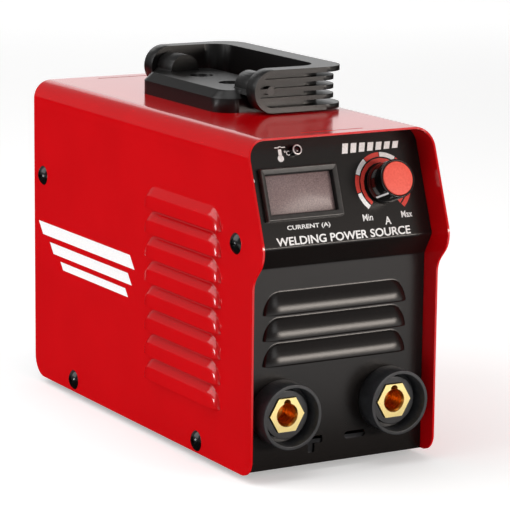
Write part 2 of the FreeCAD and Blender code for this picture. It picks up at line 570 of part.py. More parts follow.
def make_handle_base():
    body = doc.addObject("PartDesign::Body", "handle_base")
    plate_top = f"{TOP} + HandlePlate"
    outline = sketch(body, "HandleOutline", "XY_Plane", offset=TOP)
    rectangle(outline, "HandleWidth", "HandleLength", 0, "HandleMiddle")
    plate = pad(body, "HandlePlatePad", outline, "HandlePlate")
    rounded = round_edges(body, "HandleCorners", plate, lambda middle, way: abs(way.z) > 0.9,
                          "HandleCorner")
    doc.recompute()
    rim = [f"Edge{index}" for index, edge in enumerate(rounded.Shape.Edges, start=1)
           if near(edge.CenterOfMass.z, plate_top)]
    bevel = body.newObject("PartDesign::Chamfer", "HandleBevel")
    bevel.Base = (rounded, rim)
    bind(bevel, Size="HandleChamfer")

    ear_end = "HandleMiddle - BailLength / 2 + BailArm + EarGap"
    cheek = sketch(body, "EarCheek", "XZ_Plane", offset=f"-({ear_end})")
    polygon(cheek, [("-EarFoot", f"{plate_top} - 2"), ("EarFoot", f"{plate_top} - 2"),
                    ("EarRadius", PIVOT_Z), ("-EarRadius", PIVOT_Z)])
    cheek_pad = pad(body, "EarCheekPad", cheek, "EarLength", reverse=True)
    eye = sketch(body, "EarEye", "XZ_Plane", offset=f"-({ear_end})")
    circle(eye, "EarRadius", 0, PIVOT_Z)
    eye_pad = pad(body, "EarEyePad", eye, "EarLength", reverse=True)
    repeat(body, "Ears", [cheek_pad, eye_pad], "Y_Axis",
           "BailLength - 2 * BailArm - 2 * EarGap - EarLength", 2)
    for side, name in ((-1, "Front"), (1, "Rear")):
        face = f"HandleMiddle + {side} * (BailLength / 2 - BailArm - EarGap)"
        pin = sketch(body, f"EarPin{name}", "XZ_Plane", offset=f"-({face})")
        circle(pin, "PivotPin", 0, PIVOT_Z)
        pocket(body, f"EarPin{name}Bore", pin, "PinGrip", midplane=False, reverse=side > 0)

    holes = sketch(body, "HandleHoles", "XY_Plane", offset=TOP)
    sinks = sketch(body, "HandleSinks", "XY_Plane", offset=plate_top)
    for side in (-1, 1):
        circle(holes, "HandleHole", 0, f"HandleMiddle + {side} * HandleHoleSpread / 2")
        circle(sinks, "HandleBore", 0, f"HandleMiddle + {side} * HandleHoleSpread / 2")
    pocket(body, "HandleScrewHoles", holes, "HandlePlate * 3")
    body.Tip = pocket(body, "HandleScrewSinks", sinks, "HandlePlate - HandleSeat", midplane=False)
    return body


def stadium(name, radius, reach):
    """Bar along Y with a round end about the pivot axis, running to reach in +X."""
    length, start = "BailLength", "HandleMiddle - BailLength / 2"
    end = rod(f"{name}_end", radius, length, 0, start, PIVOT_Z, along="y")
    run = block(f"{name}_run", reach, length, f"2 * ({radius})", f"({reach}) / 2", "HandleMiddle",
                f"{PIVOT_Z} - ({radius})")
    return fuse(name, end, run)


def plan_core(name, inset_end, inset_side, corner):
    """Upright block inside the bail's plan, with its two grip-side corners rounded."""
    length = f"BailReach - ({inset_end}) + 30"
    core = block(f"{name}_block", length, f"BailLength - 2 * ({inset_side})", 60,
                 f"BailReach - ({inset_end}) - ({length}) / 2", "HandleMiddle", f"{PIVOT_Z} - 30")
    doc.recompute()
    reach = number(f"BailReach - ({inset_end})")
    rounding = doc.addObject("Part::Fillet", name)
    rounding.Base = core
    rounding.Edges = [(index, number(corner), number(corner))
                      for index, edge in enumerate(core.Shape.Edges, start=1)
                      if abs(edge.CenterOfMass.x - reach) < 0.01
                      and abs(edge.Vertexes[0].Z - edge.Vertexes[-1].Z) > 1]
    return rounding


def make_handle_bail():
    """U-shaped carrying bail: top and bottom plates, an inner web, and three fins between them."""
    bar = common("BailBar", stadium("BailStadium", "BailRadius", "BailReach"),
                 plan_core("BailPlan", 0, 0, "BailCorner"))
    window = plan_core("BailWindow", "BailGrip", "BailArm", "BailInnerCorner")
    inner = "BailRadius - BailPlate"
    shallow = cut("BailRim", stadium("BailRimStadium", inner, "BailReach + 5"),
                  plan_core("BailFinPlan", "FinInset", "FinInset", "BailCorner - FinInset"))
    web = plan_core("BailWebPlan", "BailGrip - BailWeb", "BailArm - BailWeb", "BailInnerCorner + BailWeb")
    deep = cut("BailTrough", stadium("BailTroughStadium", inner, "BailReach + 5"), web)
    pitch = f"(2 * ({inner}) + FinWall) / 4"
    slots = [block(f"BailSlot{index}", 300, 300, f"{pitch} - FinWall", 0, 0,
                   f"{PIVOT_Z} - ({inner}) + {index} * ({pitch})") for index in range(4)]
    troughs = common("BailTroughs", deep, fuse("BailSlots", *slots))
    bore = rod("BailPinBore", "PivotPin + PinClearance", 300, 0, -150, PIVOT_Z, along="y")
    return cut("handle_bail", bar, window, shallow, troughs, bore)


def make_handle_pins():
    """Two pivot pins, pressed into the base's ears and turning free in the bail's arms."""
    tip = "(BailLength / 2 - FinInset)"
    length = f"{tip} - (BailLength / 2 - BailArm - EarGap) + PinGrip"
    front = rod("handle_pin_front", "PivotPin", length, 0, f"HandleMiddle - {tip}", PIVOT_Z, along="y")
    rear = rod("handle_pin_rear", "PivotPin", length, 0, f"HandleMiddle + {tip}", PIVOT_Z, along="-y")
    return group("handle_pins", [front, rear])


def make_handle_fasteners():
    seat = f"{TOP} + HandleSeat"
    nut_seat = f"{TOP} - SheetWall - HandleNutWall"
    screw = pan_screw("handle_screw", "HandleScrewHead", "HandleScrewDome", "HandleShank",
                      "HandleSeat + SheetWall + HandleNutWall + 1.5")
    nut = cut("handle_nut", hexagon("HandleNutHex", "HandleNutFlats", "HandleNutWall"),
              rod("HandleNutHole", "HandleShank", "HandleNutWall"))
    spots = [f"HandleMiddle + {side} * HandleHoleSpread / 2" for side in (-1, 1)]
    screws = [copy_at(f"handle_screw_{index}", screw, 0, y, seat) for index, y in enumerate(spots)]
    nuts = [copy_at(f"handle_nut_{index}", nut, 0, y, nut_seat) for index, y in enumerate(spots)]
    return group("handle_screws", screws), group("handle_nuts", nuts)


# ---------------------------------------------------------------- output sockets

def make_socket(pole, side):
    """One output socket, built along +Z from the panel's outer face and then turned to face -Y."""
    inside = "CollarRadius - CollarWall"
    neck_back = "-PanelWall - NeckLength"
    collar = rod(f"{pole}Collar", "CollarRadius", "CollarReach")
    neck = rod(f"{pole}Neck", "NeckRadius", "PanelWall + NeckLength", z=neck_back)
    cup = rod(f"{pole}Cup", inside, "CollarReach", z="BossReach")
    moat = cut(f"{pole}Moat", rod(f"{pole}MoatDisc", inside, "CollarReach", z="MoatFloor"),
               rod(f"{pole}Boss", "BossRadius", "2 * CollarReach"))
    hex_hole = hexagon(f"{pole}HexHole", "InsertFlats + 0.3", "3 * InsertLength", z="-2 * InsertLength")
    housing = cut(f"socket_housing_{pole}", fuse(f"{pole}Shell", collar, neck), cup, moat, hex_hole)

    insert_back = "InsertReach - InsertLength"
    bar = hexagon(f"{pole}Bar", "InsertFlats", "InsertLength", z=insert_back)
    stud = rod(f"{pole}Stud", "StudRadius", "StudLength + 1", z=f"{insert_back} - StudLength")
    bore = rod(f"{pole}Bore", "BoreRadius", "BoreDepth", z="InsertReach - BoreDepth")
    key = rod(f"{pole}Key", "KeyRadius", "BoreDepth", 0, "BoreRadius", "InsertReach - BoreDepth")
    insert = cut(f"socket_insert_{pole}", fuse(f"{pole}Brass", bar, stud), bore, key)

    clamp = cut(f"socket_clamp_{pole}",
                rod(f"{pole}ClampDisc", "ClampRadius", "ClampWall", z="-PanelWall - ClampWall"),
                rod(f"{pole}ClampHole", "NeckRadius + 0.1", "3 * ClampWall", z="-2 * ClampWall - PanelWall"))
    return [place(piece, f"{side} * SocketX", LOWER_PANEL, SOCKET_Z, ALONG["-y"])
            for piece in (housing, insert, clamp)]


def make_socket_nuts():
    seat = f"{LOWER_PANEL} - InsertReach + InsertLength + BusbarWall"
    nuts = [cut(f"socket_nut_{index}",
                hexagon(f"SocketNutHex{index}", "StudNutFlats", "StudNutWall",
                        f"{side} * SocketX", seat, SOCKET_Z, along="y"),
                rod(f"SocketNutHole{index}", "StudRadius", "3 * StudNutWall",
                    f"{side} * SocketX", f"{seat} - StudNutWall", SOCKET_Z, along="y"))
            for index, side in enumerate((-1, 1))]
    return group("socket_nuts", nuts)


def make_busbar(pole, side):
    """Copper strap from a socket's stud up to the underside of the main board."""
    x, foot = f"{side} * SocketX", f"{LOWER_PANEL} - InsertReach + InsertLength"
    low = f"{SOCKET_Z} - BusbarWidth / 2 - BusbarWall"
    high = f"{BOARD_Z} - BusbarWall"
    upright = block(f"{pole}Upright", "BusbarWidth", "BusbarWall", f"{high} - ({low})", x,
                    f"{foot} + BusbarWall / 2", low)
    reach = f"BoardMiddle - BoardLength / 2 + 10 - ({foot})"
    level = block(f"{pole}Level", "BusbarWidth", reach, "BusbarWall", x, f"({foot}) + ({reach}) / 2",
                  f"{high} - BusbarWall")
    hole = rod(f"{pole}StudHole", "StudRadius + 0.2", "3 * BusbarWall", x, f"{foot} - BusbarWall",
               SOCKET_Z, along="y")
    return cut(f"busbar_{pole}", fuse(f"{pole}Strap", upright, level), hole)


# ---------------------------------------------------------------- controls on the sloping panel

def panel_block(name, wide, high, deep, across=0, up=0, out=0):
    """A box centred on a spot of the sloping panel, its back face raised by out."""
    thing = bind(doc.addObject("Part::Box", name), Length=wide, Width=high, Height=deep)
    return on_panel(thing, f"{across} - ({wide}) / 2", f"{up} - ({high}) / 2", out)


def make_meter():
    """Current meter: bezel with a skirt through the panel, tinted window, digit block and board."""
    skirt = block("MeterSleeve", "MeterBodyWidth", "MeterBodyHeight", "MeterSkirt", z="-MeterSkirt")
    flange = block("MeterFlange", "MeterWidth", "MeterHeight", "BezelReach")
    sight = block("MeterSight", "WindowWidth", "WindowHeight", "3 * MeterSkirt", z="-2 * MeterSkirt")
    bezel = cut("meter_bezel", fuse("MeterFrame", flange, skirt), sight)
    on_panel(bezel, "MeterX", "MeterUp")
    spot = ("MeterX", "MeterUp")
    window = panel_block("meter_window", "WindowWidth - 0.2", "WindowHeight - 0.2", "WindowWall",
                         *spot, "WindowSeat")
    digits = panel_block("meter_display", "DigitsWidth", "DigitsHeight", "DigitsWall", *spot, "-DigitsDepth")
    board = panel_block("meter_board", "WindowWidth - 0.6", "WindowHeight - 0.6", "BoardWall",
                        *spot, "-DigitsDepth - BoardWall")
    return bezel, window, digits, board


def make_lamp():
    """Overheat lamp: short bezel and a domed lens."""
    shell = fuse("LampShell", rod("LampRim", "LampRadius", "LampReach"),
                 rod("LampSleeve", "LampLens + 0.6", "2 * LampReach", z="-2 * LampReach"))
    bezel = cut("lamp_bezel", shell, rod("LampBore", "LampLens + 0.05", "4 * LampReach", z="-2 * LampReach"))
    dome = bind(doc.addObject("Part::Sphere", "LampDome"), Radius="LampLens")
    lens = fuse("lamp_lens", rod("LampStem", "LampLens", "3 * LampReach", z="-2 * LampReach"),
                place(dome, z="LampReach"))
    return on_panel(bezel, "LampX", "LampUp"), on_panel(lens, "LampX", "LampUp")


def make_current_control():
    """Potentiometer behind the panel, with its nut, turning shaft, knob and the knob's cap."""
    can = rod("PotCan", "PotRadius", "PotDepth", z="-PanelWall - PotDepth")
    bush = rod("PotBush", "BushRadius", "2 * PanelWall + BushReach", z="-PanelWall - 0.5")
    well = rod("PotWell", "ShaftRadius + ShaftPlay", "PotDepth + BushReach", z="-PanelWall - ShaftRoot")
    pot = cut("potentiometer", fuse("PotBody", can, bush), well)
    nut = cut("potentiometer_nut", hexagon("PotNutHex", "PotNutFlats", "PotNutWall"),
              rod("PotNutHole", "BushRadius", "PotNutWall"))
    shaft = rod("potentiometer_shaft", "ShaftRadius", "PanelWall + ShaftRoot - 0.1 + KnobReach - KnobRoof")

    grip = bind(doc.addObject("Part::Cone", "KnobGrip"), Radius1="KnobRadius + KnobDraft",
                Radius2="KnobRadius", Height="KnobReach - KnobGap")
    place(grip, z="KnobGap")
    hollow = rod("KnobHollow", "KnobHollow", "KnobHollowDepth", z="KnobGap")
    bore = rod("KnobBore", "ShaftRadius", "KnobReach - KnobRoof")
    seat = rod("KnobSeat", "KnobCap", "2 * KnobCapWall", z="KnobReach - KnobCapWall")
    pointer = block("KnobPointer", "PointerWidth", "2 * KnobDraft + 2 * PointerDepth", "KnobReach", 0,
                    "-KnobRadius - KnobDraft", "KnobGap + KnobHollowDepth")
    knob = cut("knob", grip, hollow, bore, seat, pointer)
    cap = rod("knob_cap", "KnobCap", "KnobCapWall")
    pieces = ((pot, 0), (nut, 0.1), (shaft, "-PanelWall - ShaftRoot + 0.1"), (knob, 0),
              (cap, "KnobReach - KnobCapWall"))
    return [on_panel(piece, "KnobX", "KnobUp", out, spin="KnobRest") for piece, out in pieces]


# ---------------------------------------------------------------- rear fittings

def fan_corners(middle_z):
    return [(f"{x} * FanHoleSpread / 2", f"{middle_z} + {z} * FanHoleSpread / 2")
            for x in (-1, 1) for z in (-1, 1)]


def make_fan_frame(front, middle_z):
    square = block("FanSquare", "FanSize", "FanDepth", "FanSize", 0, f"{front} + FanDepth / 2",
                   f"{middle_z} - FanSize / 2")
    tunnel = rod("FanTunnel", "FanBore", "FanDepth", 0, front, middle_z, along="y")
    holes = [rod(f"FanHole{index}", "ScrewShank + 0.2", "FanDepth", x, front, z, along="y")
             for index, (x, z) in enumerate(fan_corners(middle_z))]
    ring = cut("FanRing", square, tunnel, *holes)
    plate = rod("FanMotorPlate", "HubRadius", "MotorPlate", 0, front, middle_z, along="y")
    middle_y, span = f"{front} + MotorPlate / 2", "2 * FanBore + 1"
    level = block("FanStrutLevel", span, "MotorPlate", "StrutWidth", 0, middle_y,
                  f"{middle_z} - StrutWidth / 2")
    upright = block("FanStrutUpright", "StrutWidth", "MotorPlate", span, 0, middle_y,
                    f"{middle_z} - ({span}) / 2")
    bearing = rod("FanBearing", "FanShaft + ShaftPlay", "MotorPlate", 0, front, middle_z, along="y")
    return cut("fan_frame", fuse("FanHousing", ring, plate, level, upright), bearing)


def make_fan_rotor(start, middle_z):
    """Hub with pitched blades, built along +Z and then turned along the case."""
    length, wall, chord = (number(name) for name in ("BladeTip - HubRadius + 2", "BladeWall", "BladeChord"))
    middle = Vector(number("(BladeTip + HubRadius) / 2"), 0, number("HubLength / 2"))
    blades = []
    for index in range(int(number("Blades"))):
        blade = bind(doc.addObject("Part::Box", f"FanBlade{index}"), Length="BladeTip - HubRadius + 2",
                     Width="BladeWall", Height="BladeChord")
        around = Rotation(Vector(0, 0, 1), 360.0 * index / number("Blades"))
        turn = around.multiply(Rotation(Vector(1, 0, 0), number("BladePitch")))
        corner = around.multVec(middle) - turn.multVec(Vector(length, wall, chord) * 0.5)
        blade.Placement = Placement(corner, turn)
        blades.append(blade)
    wheel = fuse("FanWheel", rod("FanHub", "HubRadius", "HubLength"), *blades)
    swept = common("FanSweptWheel", wheel, rod("FanSweep", "BladeTip", "HubLength"))
    rotor = fuse("fan_rotor", swept, rod("FanSpindle", "FanShaft", "MotorGap + MotorPlate + 1",
                                         z="-MotorGap - MotorPlate"))
    return place(rotor, 0, start, middle_z, ALONG["y"])


def make_fan_guard(middle_z):
    """Guard of square wire: rings on two crossed spokes that end in four screw eyes."""
    wires = []
    for index in range(1, int(number("GuardRings")) + 1):
        radius = f"FanBore * {index} / GuardRings"
        outer, inner = [rod(f"Guard{edge}{index}", f"{radius} + {side} * GuardWire", "2 * GuardWire", 0,
                            f"{REAR_PANEL} + GuardStandOff", middle_z, along="y")
                        for edge, side in (("Rim", 1), ("Gap", -1))]
        wires.append(cut(f"GuardRing{index}", outer, inner))
    for angle, side in ((45, -1), (135, 1)):
        spoke = block(f"GuardSpoke{angle}", "2 * GuardWire", "2 * GuardWire", "FanHoleSpread * sqrt(2)")
        wires.append(place(spoke, "-FanHoleSpread / 2", f"{REAR_PANEL} + GuardStandOff",
                           f"{middle_z} + {side} * FanHoleSpread / 2", Rotation(Vector(0, 1, 0), angle)))
    spots = fan_corners(middle_z)
    eyes = [rod(f"GuardEyeDisc{index}", "GuardEye", "GuardEyeWall", x, REAR_PANEL, z, along="y")
            for index, (x, z) in enumerate(spots)]
    holes = [rod(f"GuardHole{index}", "ScrewShank + 0.2", "GuardStandOff + 4 * GuardWire", x, REAR_PANEL, z,
                 along="y")
             for index, (x, z) in enumerate(spots)]
    return cut("fan_guard", fuse("GuardWires", *wires, *eyes), *holes)


def make_fan():
    middle_z = "CaseFloor + FanHeight"
    front = f"{REAR_PANEL} - PanelWall - FanDepth"
    screw = pan_screw("fan_screw", "FanScrewHead", "FanScrewDome", "ScrewShank", "FanScrewReach")
    seat = f"{REAR_PANEL} + GuardStandOff + 2 * GuardWire"
    screws = [copy_at(f"fan_screw_{index}", screw, x, seat, z, ALONG["y"])
              for index, (x, z) in enumerate(fan_corners(middle_z))]
    return (make_fan_frame(front, middle_z), make_fan_rotor(f"{front} + MotorPlate + MotorGap", middle_z),
            make_fan_guard(middle_z), group("fan_screws", screws))


def make_switch():
    """Mains rocker switch; the rocker stands in its off position."""
    z = "CaseFloor + InletHeight"
    rim = block("SwitchFrame", "SwitchWidth", "SwitchRim", "SwitchHeight", "SwitchX",
                f"{REAR_PANEL} + SwitchRim / 2", f"{z} - SwitchHeight / 2")
    case = block("SwitchCase", "SwitchWidth - 2 * SwitchRim", "SwitchDepth", "SwitchHeight - 2 * SwitchRim",
                 "SwitchX", f"{REAR_PANEL} - SwitchDepth / 2", f"{z} - SwitchHeight / 2 + SwitchRim")
    well_height = "RockerHeight + 2 * RockerPlay"
    well = block("SwitchWell", "RockerWidth + RockerPlay", "RockerWell + 2 * SwitchRim", well_height,
                 "SwitchX", f"{REAR_PANEL} + SwitchRim - RockerWell / 2", f"{z} - ({well_height}) / 2")
    sockets = rod("TrunnionHole", "TrunnionRadius + ShaftPlay",
                  "RockerWidth + RockerPlay + 2 * TrunnionLength",
                  "SwitchX - RockerWidth / 2 - RockerPlay / 2 - TrunnionLength",
                  f"{REAR_PANEL} + RockerPivot", z, along="x")
    housing = cut("switch_housing", fuse("SwitchShell", rim, case), well, sockets)
    body = doc.addObject("PartDesign::Body", "switch_rocker")
    side = sketch(body, "RockerSide", "YZ_Plane")
    half = "RockerHeight / 2"
    polygon(side, [("RockerCrest", half), ("RockerDip", 0), ("RockerCrest", f"-{half}"),
                   ("RockerRim", f"-{half}"), ("RockerRoot", "-RockerKeel"),
                   ("RockerRoot", "RockerKeel"), ("RockerRim", half)])
    pad(body, "RockerPad", side, "RockerWidth", midplane=True)
    trunnion = sketch(body, "RockerTrunnion", "YZ_Plane")
    circle(trunnion, "TrunnionRadius")
    body.Tip = pad(body, "RockerTrunnions", trunnion, "RockerWidth + RockerPlay + TrunnionLength",
                   midplane=True)
    tilted = Rotation(Vector(1, 0, 0), -number("RockerTilt"))
    place(body, "SwitchX", f"{REAR_PANEL} + RockerPivot", z, tilted)
    return housing, body


def make_gland():
    """Cable gland for the mains cord: hexagonal body, dome nut, rubber seal and lock nut."""
    thread_end = "-PanelWall - LockNutWall - 2.5"
    sleeve = rod("GlandSleeve", "GlandThread", f"-({thread_end})", z=thread_end)
    collar = hexagon("GlandHex", "2 * GlandRadius", "GlandCollar")
    neck = rod("GlandNeckRod", "GlandNeck", "GlandNeckEnd")
    body = cut("gland_body", fuse("GlandShell", sleeve, collar, neck),
               rod("GlandBodyBore", "GlandSeal + 0.1", "4 * GlandNeckEnd", z="-2 * GlandNeckEnd"))
    skirt = rod("GlandCapSkirt", "GlandRadius", "GlandShoulder - GlandDomeStart", z="GlandDomeStart")
    nose = bind(doc.addObject("Part::Cone", "GlandCapNose"), Radius1="GlandRadius", Radius2="GlandDomeEdge",
                Height="GlandReach - GlandShoulder")
    place(nose, z="GlandShoulder")
    dome = cut("gland_dome", fuse("GlandCapShell", skirt, nose),
               rod("GlandDomeWell", "GlandNeck + 0.1", "GlandNeckEnd + 0.3"),
               rod("GlandDomeBore", "GlandBore + 0.4", "2 * GlandReach"))
    seal = cut("gland_seal", rod("GlandSealRing", "GlandSeal", "GlandSealLength", z="GlandSealStart"),
               rod("GlandSealBore", "GlandBore", "2 * GlandReach"))
    nut = cut("gland_locknut",
              hexagon("GlandNutHex", "LockNutFlats", "LockNutWall", z="-PanelWall - LockNutWall"),
              rod("GlandNutHole", "GlandThread", "3 * LockNutWall", z="-PanelWall - 2 * LockNutWall"))
    return [place(piece, "GlandX", REAR_PANEL, "CaseFloor + InletHeight", ALONG["y"])
            for piece in (body, dome, seal, nut)]


def make_earth():
    stud = pan_screw("earth_screw", "HandleScrewHead", "HandleScrewDome", "EarthShank", "3 * EarthNutWall")
    nut = cut("earth_nut",
              hexagon("EarthNutHex", "HandleNutFlats", "EarthNutWall", z="-PanelWall - EarthNutWall"),
              rod("EarthNutHole", "EarthShank", "3 * EarthNutWall", z="-PanelWall - 2 * EarthNutWall"))
    return [place(piece, "EarthX", REAR_PANEL, "CaseFloor + EarthHeight", ALONG["y"])
            for piece in (stud, nut)]


# ---------------------------------------------------------------- power electronics

SPOTS = [(x, y) for x in (-1, 1) for y in (-1, 1)]


def make_heatsinks():
    """Two finned extrusions along the airflow, on insulating spacers."""
    base_z = f"{TRAY_TOP} + SpacerHeight"
    nodes = []
    for label, side in (("heatsink_inverter", -1), ("heatsink_output", 1)):
        root = block(f"{label}_base", "SinkBase", "SinkLength", "SinkHeight",
                     f"{side} * (SinkInner + SinkBase / 2)", "SinkMiddle", base_z)
        fins = [block(f"{label}_fin{index}", "SinkFin", "SinkLength", "SinkFinWall",
                      f"{side} * (SinkInner + SinkBase + SinkFin / 2 - 0.5)", "SinkMiddle",
                      f"{base_z} + {index} * (SinkHeight - SinkFinWall) / (SinkFins - 1)")
                for index in range(int(number("SinkFins")))]
        nodes.append(fuse(label, root, *fins))
    spacers = [rod(f"heatsink_spacer_{index}", "SpacerRadius", "SpacerHeight",
                   f"{x} * (SinkInner + SinkBase + SpacerRadius)",
                   f"SinkMiddle + {y} * (SinkLength / 2 - 2 * SpacerRadius)", TRAY_TOP)
               for index, (x, y) in enumerate(SPOTS)]
    return [*nodes, group("heatsink_spacers", spacers)]


def make_devices(label, side):
    """Four power devices on a heatsink's inner face, their leads standing up to the main board."""
    devices = []
    for index in range(4):
        y = f"SinkMiddle + ({index} - 1.5) * DeviceSpacing"
        x = f"{side} * (SinkInner - DeviceWall / 2)"
        case = block(f"{label}_case{index}", "DeviceWall", "DeviceWidth", "DeviceHeight", x, y,
                     f"{BOARD_Z} - LeadLength - DeviceHeight + 1")
        leads = [block(f"{label}_lead{index}_{lead}", "LeadWall", "LeadWidth", "LeadLength", x,
                       f"{y} + {lead} * LeadPitch", f"{BOARD_Z} - LeadLength") for lead in (-1, 0, 1)]
        devices.append(fuse(f"{label}_{index}", case, *leads))
    return group(label, devices)


def make_boards():
    """Main board on standoffs, with its large components and the upright control board."""
    board = block("main_board", "BoardWidth", "BoardLength", "BoardWall", 0, "BoardMiddle", BOARD_Z)
    foot, face = f"{TRAY_TOP} + SpacerHeight + SinkHeight", f"{BOARD_Z} + BoardWall"
    posts = [(f"{x} * (SinkInner + SinkBase / 2)", f"SinkMiddle + {y} * (SinkLength / 2 - SpacerRadius)")
             for x, y in SPOTS]
    standoffs = [rod(f"board_standoff_{index}", "StandoffRadius", f"{BOARD_Z} - ({foot})", x, y, foot)
                 for index, (x, y) in enumerate(posts)]
    screws = [rod(f"board_screw_{index}", "BoardScrew", "BoardScrewWall", x, y, face)
              for index, (x, y) in enumerate(posts)]
    chips = [block(f"ControlChip{side}", "ChipWidth", "ChipWall", "ChipHeight", f"{side} * ChipX",
                   "ControlY + BoardWall / 2 + ChipWall / 2 - 0.1", f"{face} + ChipRise") for side in (-1, 1)]
    control = fuse("control_board", block("ControlSheet", "ControlWidth", "BoardWall", "ControlHeight",
                                          0, "ControlY", face), *chips)
    cans = [rod(f"capacitor_{index}", "CapRadius", "CapHeight", "CapX",
                f"CapStart + {index} * CapSpacing", face) for index in range(3)]
    bridge = block("bridge_rectifier", "BridgeSize", "BridgeSize", "BridgeWall", "BridgeX", "BridgeY", face)
    relay = block("soft_start_relay", "RelayWidth", "RelayLength", "RelayHeight", "RelayX", "RelayY", face)
    return (board, group("board_standoffs", standoffs), group("board_screws", screws), control,
            group("filter_capacitors", cans), bridge, relay)


def make_transformer():
    """High-frequency transformer: ferrite core with two windows, the winding through them, and a base."""
    low = f"{TRAY_TOP} + CoreSeat"
    window_height = "CoreHeight - 2 * CoreLeg"
    outside = block("CoreOutside", "CoreWidth", "CoreDepth", "CoreHeight", 0, "CoreMiddle", low)
    windows = [block(f"CoreWindow{side}", "CoreWidth / 2 - 2 * CoreLeg", "CoreDepth", window_height,
                     f"{side} * CoreWidth / 4", "CoreMiddle", f"{low} + CoreLeg") for side in (-1, 1)]
    core = cut("transformer_core", outside, *windows)
    coil = block("CoilOutside", "CoreWidth - 2 * CoreLeg - 2 * CoilPlay", "CoreDepth + CoilSwell",
                 f"{window_height} - 2 * CoilPlay", 0, "CoreMiddle", f"{low} + CoreLeg + CoilPlay")
    leg = block("CoilHole", "2 * CoreLeg + CoilPlay", "CoreDepth + CoilPlay", "CoreHeight",
                0, "CoreMiddle", low)
    winding = cut("transformer_winding", coil, leg)
    base = block("transformer_base", "CoreWidth + 2 * CoreSeat", "CoreDepth + 2 * CoreLeg", "CoreSeat",
                 0, "CoreMiddle", TRAY_TOP)
    return core, winding, base


# ---------------------------------------------------------------- build, check and write

def make_all():
    nodes = [make_cover(), make_tray(), make_front_panel(), make_rear_panel(), make_cover_screws()]
    nodes += make_feet()
    nodes += [make_handle_base(), make_handle_bail(), make_handle_pins(), *make_handle_fasteners()]
    for pole, side in (("positive", -1), ("negative", 1)):
        nodes += [*make_socket(pole, side), make_busbar(pole, side)]
    nodes += [make_socket_nuts(), *make_meter(), *make_lamp(), *make_current_control()]
    nodes += [*make_fan(), *make_switch(), *make_gland(), *make_earth()]
    nodes += [*make_heatsinks(), make_devices("power_transistors", -1), make_devices("output_diodes", 1)]
    nodes += [*make_boards(), *make_transformer()]
    return nodes


def check(nodes):
    doc.recompute()
    for thing in doc.Objects:
        if "Invalid" in thing.State or "Error" in thing.State:
            raise RuntimeError(f"{thing.Label} failed: {thing.State}")
    for node in nodes:
        if node.Shape.isNull() or not node.Shape.isValid():
            raise RuntimeError(f"{node.Label} has no valid shape")


def write(nodes):
    os.makedirs("parts", exist_ok=True)
    for node in nodes:
        node.Shape.exportStep(os.path.join("parts", node.Label + ".step"))
        box = node.Shape.BoundBox
        print(f"{node.Label:24s} solids {len(node.Shape.Solids):2d} volume {node.Shape.Volume:9.0f} "
              f"x {box.XMin:6.1f} {box.XMax:6.1f} y {box.YMin:6.1f} {box.YMax:6.1f} "
              f"z {box.ZMin:5.1f} {box.ZMax:5.1f}")


all_nodes = make_all()
check(all_nodes)
write(all_nodes)
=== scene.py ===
"""Looks of a stick welding inverter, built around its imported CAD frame.

Lengths are in millimetres until a mesh is made, where MM turns them into the frame's metres.
"""

import math

import bmesh
import bpy
from mathutils import Matrix, Vector
from mathutils.geometry import delaunay_2d_cdt


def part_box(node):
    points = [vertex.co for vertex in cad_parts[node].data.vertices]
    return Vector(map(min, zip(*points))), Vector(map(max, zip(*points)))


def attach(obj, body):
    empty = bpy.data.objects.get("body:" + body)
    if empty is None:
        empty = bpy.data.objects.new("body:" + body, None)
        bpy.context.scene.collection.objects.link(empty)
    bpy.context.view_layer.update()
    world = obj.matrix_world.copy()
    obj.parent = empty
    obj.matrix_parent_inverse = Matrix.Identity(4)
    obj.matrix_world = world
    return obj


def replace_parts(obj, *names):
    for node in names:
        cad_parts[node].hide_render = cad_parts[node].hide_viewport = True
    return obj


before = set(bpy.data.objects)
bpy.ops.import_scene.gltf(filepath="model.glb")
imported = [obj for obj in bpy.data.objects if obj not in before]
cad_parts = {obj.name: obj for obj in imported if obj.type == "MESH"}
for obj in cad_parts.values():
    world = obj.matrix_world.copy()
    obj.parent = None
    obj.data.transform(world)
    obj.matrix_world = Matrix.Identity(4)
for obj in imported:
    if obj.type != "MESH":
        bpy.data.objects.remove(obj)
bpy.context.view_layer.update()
MM = 0.001


# ---------------------------------------------------------------- sizes

def box_mm(node):
    """Lowest and highest corner of a CAD node, in millimetres."""
    low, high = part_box(node)
    return low / MM, high / MM


PANEL_LOW, PANEL_HIGH = box_mm("front_panel")
COVER_LOW, COVER_HIGH = box_mm("cover")
SHEET, PANEL_SHEET, SHEET_EDGE = 1.2, 1.3, 0.3
PANEL_GAP = 0.2
HALF_WIDTH = PANEL_HIGH.x + PANEL_GAP + SHEET
FLOOR, TOP = COVER_LOW.z, COVER_HIGH.z
REAR = COVER_HIGH.y
FRONT = -REAR
FOLD_RADIUS = 11.0

TILT = math.radians(19.9)
NOSE = (FRONT - 12.84, 122.5)
NOSE_RADIUS, THROAT_RADIUS, TOE_RADIUS, HEEL_RADIUS = 14.3, 13.4, 10.0, 12.0
THROAT = 108.1

RIDGE = Vector((0, PANEL_LOW.y, 128.1))
UP_SLOPE = Vector((0, math.sin(TILT), math.cos(TILT)))
OUTWARD = Vector((0, -math.cos(TILT), math.sin(TILT)))
SHELF = 116.0
LOWER_PANEL = FRONT + 11.8

LOUVRE_PITCH, HOOD_HEIGHT = 14.2, 12.2

KNOB_PLACE = Vector((31.5, 30.0))
METER_PLACE = (-21.5, 29.0)
LAMP_PLACE = (-21.2, 52.2)
SOCKET_X, SOCKET_HEIGHT, SOCKET_FACE = 34.3, 32.0, -131.0


# ---------------------------------------------------------------- nodes and materials

